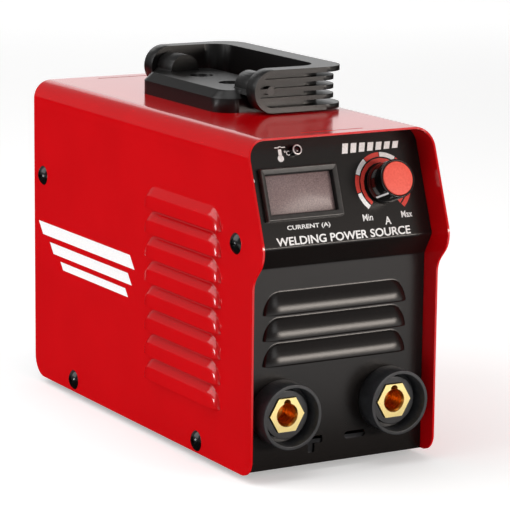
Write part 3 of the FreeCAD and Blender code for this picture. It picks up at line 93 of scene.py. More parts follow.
def linear(hex_colour):
    """The linear colour that nodes take, from an sRGB hex value."""
    channels = [int(hex_colour[i:i + 2], 16) / 255 for i in (1, 3, 5)]
    return [c / 12.92 if c <= 0.04045 else ((c + 0.055) / 1.055) ** 2.4 for c in channels] + [1.0]


def add_node(tree, kind, settings=None, values=None, links=None):
    """Adds a shader node with its settings, socket values and incoming links."""
    made = tree.nodes.new("ShaderNode" + kind)
    for name, value in (settings or {}).items():
        setattr(made, name, value)
    for socket, value in (values or {}).items():
        made.inputs[socket].default_value = value
    for socket, source in (links or {}).items():
        tree.links.new(source, made.inputs[socket])
    return made


def new_material(name, colour, roughness, **values):
    """A principled material; returns it with its tree, its shader and coordinates in metres."""
    material = bpy.data.materials.new(name)
    material.use_nodes = True
    tree = material.node_tree
    tree.nodes.clear()
    sockets = {"Base Color": linear(colour), "Roughness": roughness}
    sockets.update({key.replace("_", " "): value for key, value in values.items()})
    shader = add_node(tree, "BsdfPrincipled", values=sockets)
    add_node(tree, "OutputMaterial", links={"Surface": shader.outputs[0]})
    place = add_node(tree, "TexCoord").outputs["Object"]
    material.diffuse_color = linear(colour)
    return material, tree, shader, place


def noise(tree, place, size_mm, detail=2.0):
    """Noise whose lumps are about size_mm across."""
    made = add_node(tree, "TexNoise", values={"Scale": 1 / (size_mm * MM), "Detail": detail},
                    links={"Vector": place})
    return made.outputs["Fac"]


def vary(tree, shader, source, dark, light, low=0.3, high=0.7):
    """Lets a pattern move the base colour between two hex values."""
    ramp = add_node(tree, "ValToRGB", links={"Fac": source})
    for element, spot, colour in zip(ramp.color_ramp.elements, (low, high), (dark, light)):
        element.position, element.color = spot, linear(colour)
    tree.links.new(ramp.outputs["Color"], shader.inputs["Base Color"])


def roughen(tree, shader, source, low, high):
    """Lets a pattern move the roughness between two values."""
    spread = add_node(tree, "MapRange", values={"To Min": low, "To Max": high}, links={"Value": source})
    tree.links.new(spread.outputs["Result"], shader.inputs["Roughness"])


def relief(tree, shader, source, height_mm, strength=1.0):
    """Turns a pattern into a raised grain of that height."""
    bump = add_node(tree, "Bump", values={"Strength": strength, "Distance": height_mm * MM},
                    links={"Height": source})
    tree.links.new(bump.outputs["Normal"], shader.inputs["Normal"])


def gloss_red_enamel():
    """Stoved gloss enamel on sheet steel: deep colour, clear reflections, a faint orange peel."""
    material, tree, shader, place = new_material("gloss_red_enamel", "#C3020B", 0.14, IOR=1.5)
    vary(tree, shader, noise(tree, place, 40), "#C0020A", "#C6030C")
    relief(tree, shader, noise(tree, place, 3.0), 0.012, 0.5)
    return material


def fine_black_powder_coat():
    """Black powder coat with a fine sandy grain that breaks up every reflection."""
    material, tree, shader, place = new_material("fine_black_powder_coat", "#120F0E", 0.27,
                                                 Specular_IOR_Level=0.36)
    vary(tree, shader, noise(tree, place, 0.5), "#0F0C0B", "#161211")
    relief(tree, shader, noise(tree, place, 0.45), 0.01, 0.5)
    return material


def moulded_handle_nylon():
    """Glass-filled nylon from a spark-eroded mould: dark grey with a leathery fine grain."""
    material, tree, shader, place = new_material("moulded_handle_nylon", "#0A0909", 0.34,
                                                 Specular_IOR_Level=0.36)
    vary(tree, shader, noise(tree, place, 0.9), "#080707", "#0F0D0C")
    relief(tree, shader, noise(tree, place, 0.6), 0.03, 0.6)
    return material


def moulded_socket_nylon():
    """Smooth grey-black nylon of the socket bodies, slightly cloudy from the mould."""
    material, tree, shader, place = new_material("moulded_socket_nylon", "#2A2B2D", 0.36)
    vary(tree, shader, noise(tree, place, 5), "#252628", "#303134")
    relief(tree, shader, noise(tree, place, 0.5), 0.008, 0.5)
    return material


def turned_brass():
    """Free-cutting brass, turned: bright yellow faces with fine tool marks."""
    material, tree, shader, place = new_material("turned_brass", "#FFE9A2", 0.34, Metallic=1.0)
    rings = add_node(tree, "TexWave", {"bands_direction": "Y"},
                     {"Scale": 1 / (1.1 * MM) / 20, "Distortion": 1.0}, {"Vector": place})
    relief(tree, shader, rings.outputs["Fac"], 0.02, 0.4)
    roughen(tree, shader, noise(tree, place, 1.5), 0.28, 0.4)
    return material


def painted_shade_brass():
    """Machined bore of the sockets: the brass in a deeper orange, painted shade for the dark of the hole."""
    material, tree, shader, place = new_material("painted_shade_brass", "#E08A2E", 0.28, Metallic=1.0)
    vary(tree, shader, noise(tree, place, 2.0), "#C8701E", "#F2A548")
    return material


def painted_shade_black():
    """Painted shade: a matt black sheet inside the meter frame, where its deep recess falls into shade."""
    material, tree, shader, place = new_material("painted_shade_black", "#050505", 0.8)
    vary(tree, shader, noise(tree, place, 1.0), "#040404", "#080808")
    return material


def bezel_abs():
    """Charcoal ABS of the meter frame, satin from the mould."""
    material, tree, shader, place = new_material("bezel_abs", "#3B3938", 0.34)
    vary(tree, shader, noise(tree, place, 3), "#373534", "#413F3D")
    relief(tree, shader, noise(tree, place, 0.4), 0.01, 0.5)
    return material


def smoked_acrylic():
    """Smoked acrylic window with an anti-glare film that scatters light in fine grains."""
    material, tree, shader, place = new_material("smoked_acrylic", "#6A5657", 0.62, Coat_Weight=0.3,
                                                 Coat_Roughness=0.25)
    vary(tree, shader, noise(tree, place, 0.55, 4.0), "#5C494A", "#8A7473", 0.32, 0.68)
    return material


def black_gloss_abs():
    """Piano-black ABS of the knob: a hard, clean reflection."""
    material, tree, shader, place = new_material("black_gloss_abs", "#070707", 0.14)
    roughen(tree, shader, noise(tree, place, 4), 0.1, 0.18)
    return material


def matt_red_cap():
    """Matt red insert of the knob, with a soft even grain."""
    material, tree, shader, place = new_material("matt_red_cap", "#E0503F", 0.55)
    vary(tree, shader, noise(tree, place, 1.1), "#DB4A3A", "#E65A49")
    relief(tree, shader, noise(tree, place, 0.4), 0.01, 0.5)
    return material


def blackened_screw_steel():
    """Black oxide on steel under oil: nearly mirror black on the domed heads."""
    material, tree, shader, place = new_material("blackened_screw_steel", "#0B0B0B", 0.2)
    roughen(tree, shader, noise(tree, place, 1.2), 0.14, 0.28)
    return material


def zinc_plated_steel():
    """Bright zinc plating: bluish silver, with a cloudy spangle."""
    material, tree, shader, place = new_material("zinc_plated_steel", "#B4B7BA", 0.34, Metallic=1.0)
    vary(tree, shader, noise(tree, place, 6), "#A9ACB0", "#C0C2C4")
    roughen(tree, shader, noise(tree, place, 2), 0.28, 0.42)
    return material


def plated_lamp_ring():
    """Satin chrome on the lamp's brass ring."""
    material, tree, shader, place = new_material("plated_lamp_ring", "#CFC9C9", 0.25, Metallic=0.3)
    roughen(tree, shader, noise(tree, place, 0.8), 0.24, 0.36)
    return material


def ruby_lens():
    """Unlit ruby acrylic: almost black until it catches the light."""
    material, tree, shader, place = new_material("ruby_lens", "#240203", 0.06)
    vary(tree, shader, noise(tree, place, 2), "#1C0102", "#2E0305")
    return material


def natural_rubber():
    """Moulded rubber: dull black with a slight bloom."""
    material, tree, shader, place = new_material("natural_rubber", "#1A1A1A", 0.8)
    vary(tree, shader, noise(tree, place, 4), "#161616", "#232323")
    return material


def screen_ink(name, colour, faded):
    """Screen-printed ink: matt, with the slight unevenness of the mesh."""
    material, tree, shader, place = new_material(name, colour, 0.6)
    vary(tree, shader, noise(tree, place, 0.8), faded, colour)
    return material


def bare_aluminium():
    """Extruded aluminium, drawn lines along the fins."""
    material, tree, shader, place = new_material("bare_aluminium", "#C3C5C8", 0.36, Metallic=1.0)
    lines = add_node(tree, "Mapping", values={"Scale": (1.0, 0.05, 1.0)}, links={"Vector": place})
    roughen(tree, shader, noise(tree, lines.outputs["Vector"], 0.6), 0.28, 0.46)
    return material


def rolled_copper():
    """Rolled copper bar with a light oxide."""
    material, tree, shader, place = new_material("rolled_copper", "#D08A62", 0.3, Metallic=1.0)
    vary(tree, shader, noise(tree, place, 5), "#C27C55", "#DC9A72")
    return material


def shade_darkened_zinc():
    """Zinc plate painted a dark grey as painted shade, so that the view through the panel's slots stays
    dark.
    """
    material, tree, shader, place = new_material("shade_darkened_zinc", "#303134", 0.4, Metallic=1.0)
    vary(tree, shader, noise(tree, place, 6), "#2A2B2D", "#38393C")
    return material


def solder_mask_green():
    """Green solder mask over glass-epoxy board."""
    material, tree, shader, place = new_material("solder_mask_green", "#0E5A2C", 0.3)
    vary(tree, shader, noise(tree, place, 3, 4.0), "#0B4A24", "#126B35")
    return material


def moulding_compound():
    """Black epoxy of moulded parts, slightly mottled."""
    material, tree, shader, place = new_material("moulding_compound", "#161617", 0.42)
    vary(tree, shader, noise(tree, place, 1.2), "#121213", "#1D1D1E")
    relief(tree, shader, noise(tree, place, 0.5), 0.01, 0.4)
    return material


def rocker_red():
    """Translucent red polycarbonate of the mains rocker."""
    material, tree, shader, place = new_material("rocker_red", "#B40A12", 0.2, Coat_Weight=0.3)
    vary(tree, shader, noise(tree, place, 4), "#A8070F", "#BE0D16")
    return material


def shrink_sleeve():
    """Dark blue shrink sleeve of the capacitors."""
    material, tree, shader, place = new_material("shrink_sleeve", "#12204A", 0.26)
    vary(tree, shader, noise(tree, place, 6), "#0F1B40", "#172858")
    return material


def relay_blue():
    """Blue polyester relay case."""
    material, tree, shader, place = new_material("relay_blue", "#1B4C96", 0.35)
    vary(tree, shader, noise(tree, place, 3), "#184488", "#2055A4")
    return material


def sintered_ferrite():
    """Pressed and fired ferrite: dull charcoal with a ceramic grain."""
    material, tree, shader, place = new_material("sintered_ferrite", "#2B2B2D", 0.6)
    vary(tree, shader, noise(tree, place, 1.0), "#232325", "#353537")
    return material


def polyester_tape():
    """Yellow polyester tape over the winding, lapped in bands."""
    material, tree, shader, place = new_material("polyester_tape", "#C79A2B", 0.32)
    bands = add_node(tree, "TexWave", {"bands_direction": "Z"}, {"Scale": 1 / (6 * MM) / 20},
                     {"Vector": place})
    vary(tree, shader, bands.outputs["Fac"], "#B98C22", "#D3A838")
    return material


def white_nylon():
    """Natural white nylon of the spacers."""
    material, tree, shader, place = new_material("white_nylon", "#D9D7CF", 0.5)
    vary(tree, shader, noise(tree, place, 4), "#D0CDC4", "#E0DED7")
    return material


MATERIALS = {make.__name__: make() for make in (
    gloss_red_enamel, fine_black_powder_coat, moulded_handle_nylon, moulded_socket_nylon, turned_brass,
    painted_shade_brass, painted_shade_black, shade_darkened_zinc, bezel_abs, smoked_acrylic, black_gloss_abs,
    matt_red_cap, blackened_screw_steel, zinc_plated_steel, plated_lamp_ring, ruby_lens, natural_rubber,
    bare_aluminium, rolled_copper, solder_mask_green, moulding_compound, rocker_red, shrink_sleeve,
    relay_blue, sintered_ferrite, polyester_tape, white_nylon)}
MATERIALS["white_ink"] = screen_ink("white_ink", "#F4F4F4", "#DEDEDE")
MATERIALS["red_ink"] = screen_ink("red_ink", "#D8382B", "#C42E22")
MATERIALS["side_white_ink"] = screen_ink("side_white_ink", "#F4F4F4", "#E6E6E6")


# ---------------------------------------------------------------- mesh building

SQUARE = ((-1, -1), (1, -1), (1, 1), (-1, 1))
ARC_STEPS = 14
CASE_MIDDLE = Vector((0, 0, 90))


def finish_mesh(name, bm, material, body, sharp=32.0):
    """Turns a bmesh in millimetres into a piece that rides on a CAD body."""
    bmesh.ops.remove_doubles(bm, verts=bm.verts, dist=0.005)
    bmesh.ops.dissolve_degenerate(bm, edges=bm.edges, dist=0.002)
    bmesh.ops.scale(bm, vec=(MM, MM, MM), verts=bm.verts)
    mesh = bpy.data.meshes.new(name)
    bm.to_mesh(mesh)
    bm.free()
    mesh.materials.append(MATERIALS[material])
    mesh.shade_smooth()
    mesh.set_sharp_from_angle(angle=math.radians(sharp))
    piece = bpy.data.objects.new(name, mesh)
    bpy.context.scene.collection.objects.link(piece)
    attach(piece, body)
    return piece


def soften(piece, width_mm, angle=35.0, segments=2, weld=False):
    """Rounds a piece's hard edges by a small radius."""
    if weld:
        joined = piece.modifiers.new("weld", "WELD")
        joined.merge_threshold = 0.004 * MM
    bevel = piece.modifiers.new("edge_radius", "BEVEL")
    bevel.width = width_mm * MM
    bevel.segments = segments
    bevel.limit_method = "ANGLE"
    bevel.angle_limit = math.radians(angle)
    bevel.harden_normals = True
    return piece


def thicken(piece, wall_mm):
    """Gives a folded sheet its wall, on the inside."""
    wall = piece.modifiers.new("wall", "SOLIDIFY")
    wall.thickness = wall_mm * MM
    wall.offset = -1.0
    wall.use_even_offset = True
    return piece


def rounded(corners, steps=8):
    """Closed outline through corners (a, b, radius), with an arc at each radius that isn't 0."""
    points = []
    for index, (a, b, radius) in enumerate(corners):
        here = Vector((a, b))
        if not radius:
            points.append(here)
            continue
        before = (Vector(corners[index - 1][:2]) - here).normalized()
        after = (Vector(corners[(index + 1) % len(corners)][:2]) - here).normalized()
        half = before.angle(after) / 2
        centre = here + (before + after).normalized() * radius / math.sin(half)
        start = here + before * radius / math.tan(half) - centre
        end = here + after * radius / math.tan(half) - centre
        points += [centre + start.slerp(end, step / steps) * radius for step in range(steps + 1)]
    return points


def arc(radius, start, end, steps=ARC_STEPS):
    """Points on an arc about the origin, between two angles in degrees."""
    angles = [math.radians(start + (end - start) * step / steps) for step in range(steps + 1)]
    return [Vector((radius * math.cos(a), radius * math.sin(a))) for a in angles]


def disc(x, y, radius, steps=24):
    """Closed circle about (x, y)."""
    return [point + Vector((x, y)) for point in arc(radius, 0, 360 - 360 / steps, steps - 1)]


def slit(x, y, half_length, half_width, steps):
    """Closed outline of a slit with round ends, about (x, y)."""
    return rounded([(x + a * half_length, y + b * half_width, half_width * 0.95) for a, b in SQUARE], steps)


def inside(point, outline):
    """Whether a point of the plane lies within a closed outline."""
    hit = False
    for start, end in zip(outline, outline[1:] + outline[:1]):
        if (start.y > point.y) != (end.y > point.y):
            cross = start.x + (point.y - start.y) / (end.y - start.y) * (end.x - start.x)
            hit ^= point.x < cross
    return hit


def fill(outline, holes, creases):
    """Triangles of a flat pattern: its outline less its holes, split along its fold lines."""
    points, edges = [], []
    for loop in [outline] + holes:
        first = len(points)
        points += loop
        edges += [(first + i, first + (i + 1) % len(loop)) for i in range(len(loop))]
    for crease in creases:
        edges.append((len(points), len(points) + 1))
        points += crease
    spots, _, faces, *_ = delaunay_2d_cdt(points, edges, [], 0, 1e-4)
    kept = []
    for face in faces:
        middle = sum((spots[i] for i in face), Vector((0, 0))) / len(face)
        if inside(middle, outline) and not any(inside(middle, hole) for hole in holes):
            kept.append(face)
    return spots, kept


LOUVRE_MARGIN = 0.9
END_STEPS, MIDDLE_STEPS = 10, 6


def louvre_columns(length, end, round_near, round_far):
    """Columns across a louvre: place along it, share of its full size, way out of its end, roundness."""
    turns = [math.radians(90 * step / END_STEPS) for step in range(END_STEPS + 1)]
    near = [(end * (1 - math.cos(turn)), math.sin(turn), -math.cos(turn), round_near) for turn in turns]
    middle = [(end + (length - 2 * end) * step / MIDDLE_STEPS, 1.0, 0.0, 0.0)
              for step in range(1, MIDDLE_STEPS)]
    far = [(length - along, share, -way, round_far) for along, share, way, _ in reversed(near)]
    return near + middle + far


def louvre(length, end, depth, section, round_near, round_far):
    """Grid of (along, down, out) points of one pressed louvre; its first row lies flat around it."""
    columns = []
    for along, share, way, roundness in louvre_columns(length, end, round_near, round_far):
        top = HOOD_HEIGHT * (1 - share)
        column = [(along + LOUVRE_MARGIN * way, top - LOUVRE_MARGIN * share, 0.0), (along, top, 0.0)]
        ball = max(0.0, 1 - share * share) ** 0.3 * roundness
        for fall, rise in section:
            bulge = math.sqrt(max(0.0, 1 - (1 - fall) ** 2))
            column.append((along, top + (HOOD_HEIGHT - top) * fall,
                           depth * share * (rise * (1 - ball) + bulge * ball)))
        columns.append(column)
    return columns


def press(bm, columns, at, bend):
    """Adds a louvre's faces; at turns (along, down) into the pattern's plane. Returns its outline."""
    grid = []
    for column in columns:
        row = []
        for along, down, out in column:
            point, normal = bend(at(along, down))
            row.append(bm.verts.new(point + normal * out))
        grid.append(row)
    for left, right in zip(grid, grid[1:]):
        for i in range(len(left) - 1):
            bm.faces.new((left[i], left[i + 1], right[i + 1], right[i]))
    mouth = [at(*columns[0][1][:2]), at(*columns[-1][1][:2])]
    return [at(*column[0][:2]) for column in columns] + [mouth[1], mouth[0]]


def sheet_metal(name, outline, holes, creases, louvres, bend, material):
    """A folded sheet with pressed louvres, built on its flat pattern."""
    bm = bmesh.new()
    mouths = [press(bm, columns, at, bend) for columns, at in louvres]
    spots, faces = fill(outline, holes + mouths, creases)
    verts = [bm.verts.new(bend(spot)[0]) for spot in spots]
    for face in faces:
        bm.faces.new([verts[i] for i in face])
    bmesh.ops.remove_doubles(bm, verts=bm.verts, dist=0.01)
    loose = [vert for vert in bm.verts if not vert.link_faces]
    bmesh.ops.delete(bm, geom=loose, context="VERTS")
    bmesh.ops.recalc_face_normals(bm, faces=bm.faces)
    bm.faces.ensure_lookup_table()
    widest = max(bm.faces, key=lambda face: face.calc_area())
    centre = widest.calc_center_median()
    if widest.normal.dot(centre - CASE_MIDDLE) < 0:
        bmesh.ops.reverse_faces(bm, faces=bm.faces)
    return finish_mesh(name, bm, material, "case", sharp=60.0)


# ---------------------------------------------------------------- cover

SIDE_HEIGHT = TOP - FOLD_RADIUS - FLOOR
FOLD_LENGTH = FOLD_RADIUS * math.pi / 2
FLAT_TOP = 2 * (HALF_WIDTH - FOLD_RADIUS)
PATTERN_WIDTH = 2 * (SIDE_HEIGHT + FOLD_LENGTH) + FLAT_TOP
FOLD_STEPS = 12

SIDE_SECTION = ((0.05, 0.1), (0.12, 0.29), (0.22, 0.56), (0.3, 0.76), (0.345, 0.86), (0.385, 0.91),
                (0.43, 0.935), (0.5, 0.95), (0.62, 0.97), (0.75, 0.985), (0.88, 0.995), (0.96, 1.0),
                (1.0, 0.985))


def bend_cover(spot):
    """Folds the cover's flat pattern (round the case, along it) up over both sides."""
    around, along = spot
    side = -1 if around < PATTERN_WIDTH / 2 else 1
    run = min(around, PATTERN_WIDTH - around)
    if run <= SIDE_HEIGHT:
        return Vector((side * HALF_WIDTH, along, FLOOR + run)), Vector((side, 0, 0))
    if run >= SIDE_HEIGHT + FOLD_LENGTH:
        return Vector((around - PATTERN_WIDTH / 2, along, TOP)), Vector((0, 0, 1))
    turn = (run - SIDE_HEIGHT) / FOLD_RADIUS
    out = Vector((side * math.cos(turn), 0, math.sin(turn)))
    middle = Vector((side * (HALF_WIDTH - FOLD_RADIUS), along, TOP - FOLD_RADIUS))
    return middle + out * FOLD_RADIUS, out


def brow(height):
    """Place of the cover's sloping front edge at a height above its foot."""
    return NOSE[0] + (height - NOSE[1]) * math.tan(TILT)


def cover_fold():
    """The cover's front edge round one fold, as (around, along, radius) corners."""
    turns = [index * math.pi / 2 / FOLD_STEPS for index in range(FOLD_STEPS + 1)]
    return [(SIDE_HEIGHT + FOLD_RADIUS * turn, brow(SIDE_HEIGHT + FOLD_RADIUS * math.sin(turn)), 0)
            for turn in turns]


def cover_outline(fold):
    """The cover's flat outline, with the throat and the nose of both its front edges."""
    half = [(0, REAR, HEEL_RADIUS), (0, FRONT, TOE_RADIUS), (THROAT, FRONT, THROAT_RADIUS),
            (NOSE[1], NOSE[0], NOSE_RADIUS), *fold]
    return rounded(half + [(PATTERN_WIDTH - a, b, radius) for a, b, radius in reversed(half)])


def cover_creases(fold):
    """Fold lines on both halves of the pattern, from the front edge to the rear."""
    margin = 1.0
    creases = []
    for around, front, _ in [(SIDE_HEIGHT - margin, fold[0][1], 0), *fold,
                             (SIDE_HEIGHT + FOLD_LENGTH + margin, fold[-1][1], 0)]:
        for place in (around, PATTERN_WIDTH - around):
            creases.append((Vector((place, front)), Vector((place, REAR))))
    return creases


def cover_louvres():
    """Eight louvres on each side, each with the function that places it on the pattern."""
    length, count, first_lip, middle = 88.0, 8, 130.2, -57.0
    columns = louvre(length, 12.5, 3.5, SIDE_SECTION, 1.0, 0.2)
    louvres = []
    for index in range(count):
        lip = first_lip - index * LOUVRE_PITCH

        def near_side(along, down, lip=lip):
            """Place of a louvre's point on the left side."""
            return Vector((lip + HOOD_HEIGHT - down, middle - length / 2 + along))

        def far_side(along, down, lip=lip):
            """Place of a louvre's point on the right side."""
            return Vector((PATTERN_WIDTH - lip - HOOD_HEIGHT + down, middle - length / 2 + along))

        louvres += [(columns, near_side), (columns, far_side)]
    return louvres


def make_cover():
    """Both sides and the top in one red sheet, with a slit near each end of the top."""
    slit_half, slit_wall, slit_inset = 20.0, 0.7, 9.0
    fold = cover_fold()
    holes = [slit(PATTERN_WIDTH / 2, along, slit_half, slit_wall, 4)
             for along in (brow(TOP - FLOOR) + slit_inset, REAR - slit_inset)]
    cover = sheet_metal("cover_sheet", cover_outline(fold), holes, cover_creases(fold), cover_louvres(),
                        bend_cover, "gloss_red_enamel")
    soften(thicken(cover, SHEET), SHEET_EDGE, 60)
    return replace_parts(cover, "cover")


# ---------------------------------------------------------------- front panel

RIDGE_BEND, SHELF_BEND = 1.6, 2.0
BEND_STEPS = 6
BEND_STARTS = (1, 2 + BEND_STEPS)
FRONT_SECTION = ((0.03, 0.04), (0.08, 0.12), (0.3, 0.45), (0.5, 0.74), (0.6, 0.835), (0.7, 0.907),
                 (0.8, 0.958), (0.88, 0.983), (0.93, 0.985), (0.97, 0.95), (1.0, 0.88))


def front_path():
    """Side view of the panel from its foot to its head, as (y, z) points with rounded bends."""
    head = RIDGE + UP_SLOPE * ((PANEL_HIGH.z - RIDGE.z) / UP_SLOPE.z)
    corners = [(LOWER_PANEL, FLOOR, 0), (LOWER_PANEL, SHELF, SHELF_BEND), (RIDGE.y, RIDGE.z, RIDGE_BEND),
               (head.y, head.z, 0), (head.y + 60, FLOOR, 0)]
    return rounded(corners, BEND_STEPS)[:-1]


PATH = front_path()
PATH_RUN = [0.0]
for start, end in zip(PATH, PATH[1:]):
    PATH_RUN.append(PATH_RUN[-1] + (end - start).length)


def bend_panel(spot):
    """Folds the front panel's flat pattern (across, up) along its side view."""
    across, up = spot
    index = max(i for i in range(len(PATH) - 1) if PATH_RUN[i] <= max(up, 0.0) + 1e-6)
    way = (PATH[index + 1] - PATH[index]).normalized()
    point = PATH[index] + way * (up - PATH_RUN[index])
    return Vector((across, point.x, point.y)), Vector((0, -way.y, way.x))


def panel_slots():
    """The minus slot and the plus slot, stamped between and below the sockets."""
    mark_x, mark_z, slot_half, slot_wall = 14.0, 13.5, 6.8, 2.1
    arm, half_bar, tip, root = 7.2, 2.1, 1.2, 0.6
    cross = []
    for quarter in range(4):
        turn = Matrix.Rotation(math.radians(90 * quarter), 2)
        for x, z, radius in ((arm, -half_bar, tip), (arm, half_bar, tip), (half_bar, half_bar, root)):
            spot = turn @ Vector((x, z))
            cross.append((spot.x - mark_x, spot.y + mark_z, radius))
    return [slit(mark_x, mark_z, slot_half, slot_wall, 6), rounded(cross, 4)]


def panel_cut_outs():
    """Holes for the sockets, the meter, the bush of the knob and the lamp."""
    socket_hole, bush_hole, lamp_hole = 14.0, 4.6, 2.6
    meter_width, meter_height, meter_corner = 22.7, 13.2, 0.3
    slope = PATH_RUN[-2] - (PATH[-2] - Vector((RIDGE.y, RIDGE.z))).length
    holes = [disc(side * SOCKET_X, SOCKET_HEIGHT, socket_hole, 48) for side in (-1, 1)]
    holes.append(rounded([(METER_PLACE[0] + x * meter_width, METER_PLACE[1] + slope + up * meter_height,
                           meter_corner) for x, up in SQUARE], 3))
    holes.append(disc(KNOB_PLACE.x, KNOB_PLACE.y + slope, bush_hole))
    holes.append(disc(LAMP_PLACE[0], LAMP_PLACE[1] + slope, lamp_hole))
    return holes


def panel_creases(half):
    """Fold lines at every step of both bends, and one on the flat beside each bend."""
    margin = 0.8
    runs = PATH_RUN[1:-1]
    runs += [PATH_RUN[start] - margin for start in BEND_STARTS]
    runs += [PATH_RUN[start + BEND_STEPS] + margin for start in BEND_STARTS]
    return [(Vector((-half, run)), Vector((half, run))) for run in runs]


def panel_louvres():
    """Three wide louvres, each with the function that places it on the pattern."""
    length, count, first_lip = 91.0, 3, 86.6
    columns = louvre(length, 10.5, 4.2, FRONT_SECTION, 0.4, 0.4)
    louvres = []
    for index in range(count):
        lip = first_lip - index * LOUVRE_PITCH

        def across_panel(along, down, lip=lip):
            """Place of a louvre's point on the panel."""
            return Vector((along - length / 2, lip + HOOD_HEIGHT - down))

        louvres.append((columns, across_panel))
    return louvres


def make_front_panel():
    """The black panel: sockets and louvres on its upright part, the controls on its slope."""
    half, height, corner = PANEL_HIGH.x, PATH_RUN[-1], FOLD_RADIUS - SHEET
    outline = rounded([(-half, 0, 0), (half, 0, 0), (half, height, corner), (-half, height, corner)], 10)
    panel = sheet_metal("front_panel_sheet", outline, panel_slots() + panel_cut_outs(),
                        panel_creases(half), panel_louvres(), bend_panel,
                        "fine_black_powder_coat")
    soften(thicken(panel, PANEL_SHEET), SHEET_EDGE, 60)
    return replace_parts(panel, "front_panel")


# ---------------------------------------------------------------- marks on the panel and the sides

PANEL_AXES = Matrix((Vector((1, 0, 0)), UP_SLOPE, OUTWARD)).transposed().to_4x4()
PANEL_PLACE = Matrix.Translation(RIDGE) @ PANEL_AXES
INK = 0.06


def print_outlines(name, outlines, ink, place):
    """Flat printed shapes, each a closed outline, laid in a plane as a film of ink."""
    bm = bmesh.new()
    for outline in outlines:
        low = [bm.verts.new((point[0], point[1], 0.0)) for point in outline]
        high = [bm.verts.new((point[0], point[1], INK)) for point in outline]
        bm.faces.new(high)
        bm.faces.new(low[::-1])
        for i in range(len(outline)):
            j = (i + 1) % len(outline)
            bm.faces.new((low[i], low[j], high[j], high[i]))
    bmesh.ops.recalc_face_normals(bm, faces=bm.faces)
    bmesh.ops.transform(bm, matrix=place, verts=bm.verts)
    return finish_mesh(name, bm, ink, "case")


def print_words(name, words, across, up, height, width, weight=0.02):
    """Generic lettering, centred at (across, up) on the sloping panel and fitted to a width."""
    curve = bpy.data.curves.new(name, "FONT")
    curve.body = words
    curve.align_x = curve.align_y = "CENTER"
    curve.offset = weight
    curve.extrude = 0.01
    source = bpy.data.objects.new(name + "_curve", curve)
    bpy.context.scene.collection.objects.link(source)
    bpy.context.view_layer.update()
    mesh = bpy.data.meshes.new_from_object(source.evaluated_get(bpy.context.evaluated_depsgraph_get()))
    bpy.data.objects.remove(source)
    bm = bmesh.new()
    bm.from_mesh(mesh)
    low = Vector([min(vert.co[axis] for vert in bm.verts) for axis in range(3)])
    high = Vector([max(vert.co[axis] for vert in bm.verts) for axis in range(3)])
    size = high - low
    fit = Matrix.Diagonal((width / size.x, height / size.y, INK / size.z, 1))
    fit = Matrix.Translation((across, up, 0)) @ fit @ Matrix.Translation((-(low.x + high.x) / 2,
                                                                         -(low.y + high.y) / 2, -low.z))
    bmesh.ops.transform(bm, matrix=PANEL_PLACE @ fit, verts=bm.verts)
    return finish_mesh(name, bm, "white_ink", "case")


def band(inner_start, inner_end, outer, start, end):
    """Outline of a ring segment whose inner radius may taper."""
    outside = arc(outer, start, end)
    inside_arc = []
    for step, point in enumerate(arc(1.0, start, end)):
        inside_arc.append(point * (inner_start + (inner_end - inner_start) * step / ARC_STEPS))
    return outside + inside_arc[::-1]


def make_dial():
    """Eight-part ring round the knob, with a thinner red ring inside it."""
    at_knob = PANEL_PLACE @ Matrix.Translation((*KNOB_PLACE, 0))
    first, step, gap = 229.0, 35.1, 1.6
    segments = [band(15.2, 15.2, 17.7, first - index * step - gap / 2, first - (index + 1) * step + gap / 2)
                for index in range(8)]
    print_outlines("dial_grey", segments[0::2], "white_ink", at_knob)
    print_outlines("dial_red", segments[1::2], "red_ink", at_knob)
    print_outlines("dial_inner_ring", [band(12.6, 11.4, 14.5, first, first - 8 * step)], "red_ink", at_knob)


def bar(x, y, length, height, slant=0.0):
    """Outline of a printed bar, leaning by slant from its foot to its head."""
    return [Vector((x + a * length / 2 + b * slant / 2, y + b * height / 2))
            for a, b in SQUARE]


def make_panel_marks():
    """Generic words and plain marks, each at its place across and up the slope."""
    print_words("mark_min", "Min", 18.2, 12.3, 3.7, 6.4, 0.008)
    print_words("mark_max", "Max", 43.4, 12.2, 3.7, 7.0, 0.008)
    print_words("mark_amps", "A", 30.7, 9.6, 4.4, 4.0)
    print_words("mark_current", "CURRENT (A)", -19.6, 10.4, 3.1, 27.0)
    print_words("mark_purpose", "WELDING POWER SOURCE", 1.5, 3.5, 4.6, 85.0)
    print_words("mark_celsius", "°C", -25.7, 51.3, 2.8, 3.4)
    print_outlines("mark_heat", [disc(-30.0, 48.6, 1.9), bar(-30.0, 51.6, 2.0, 4.0),
                                 bar(-31.6, 54.6, 2.6, 0.5), bar(-27.6, 54.6, 2.6, 0.5),
                                 bar(-29.7, 55.0, 1.5, 0.5)], "white_ink", PANEL_PLACE)
    print_outlines("mark_series", [bar(11.0 + 5.4 * index, 51.2, 3.6, 5.6 - 0.3 * index, 1.4)
                                   for index in range(7)], "white_ink", PANEL_PLACE)
    print_outlines("mark_edge", [disc(-50.0, 37.7, 1.7), bar(-50.2, 31.0, 1.6, 3.4),
                                 bar(-50.2, 24.6, 1.6, 2.6)], "white_ink", PANEL_PLACE)


def make_side_marks():
    """Three plain slanted stripes on each side of the cover."""
    stripes = [bar(65.0, 98.0, 122.0, 7.6, 6.0), bar(59.0, 87.5, 104.0, 6.4, 5.0),
               bar(54.0, 78.8, 86.0, 4.6, 3.6)]
    for name, side in (("left", -1), ("right", 1)):
        axes = Matrix((Vector((0, 1, 0)), Vector((0, 0, 1)), Vector((1, 0, 0)))).transposed().to_4x4()
        lift = Matrix.Translation((side * HALF_WIDTH - (INK if side < 0 else 0), 0, 0))
        print_outlines(f"stripes_{name}", stripes, "side_white_ink", lift @ axes)


# ---------------------------------------------------------------- controls

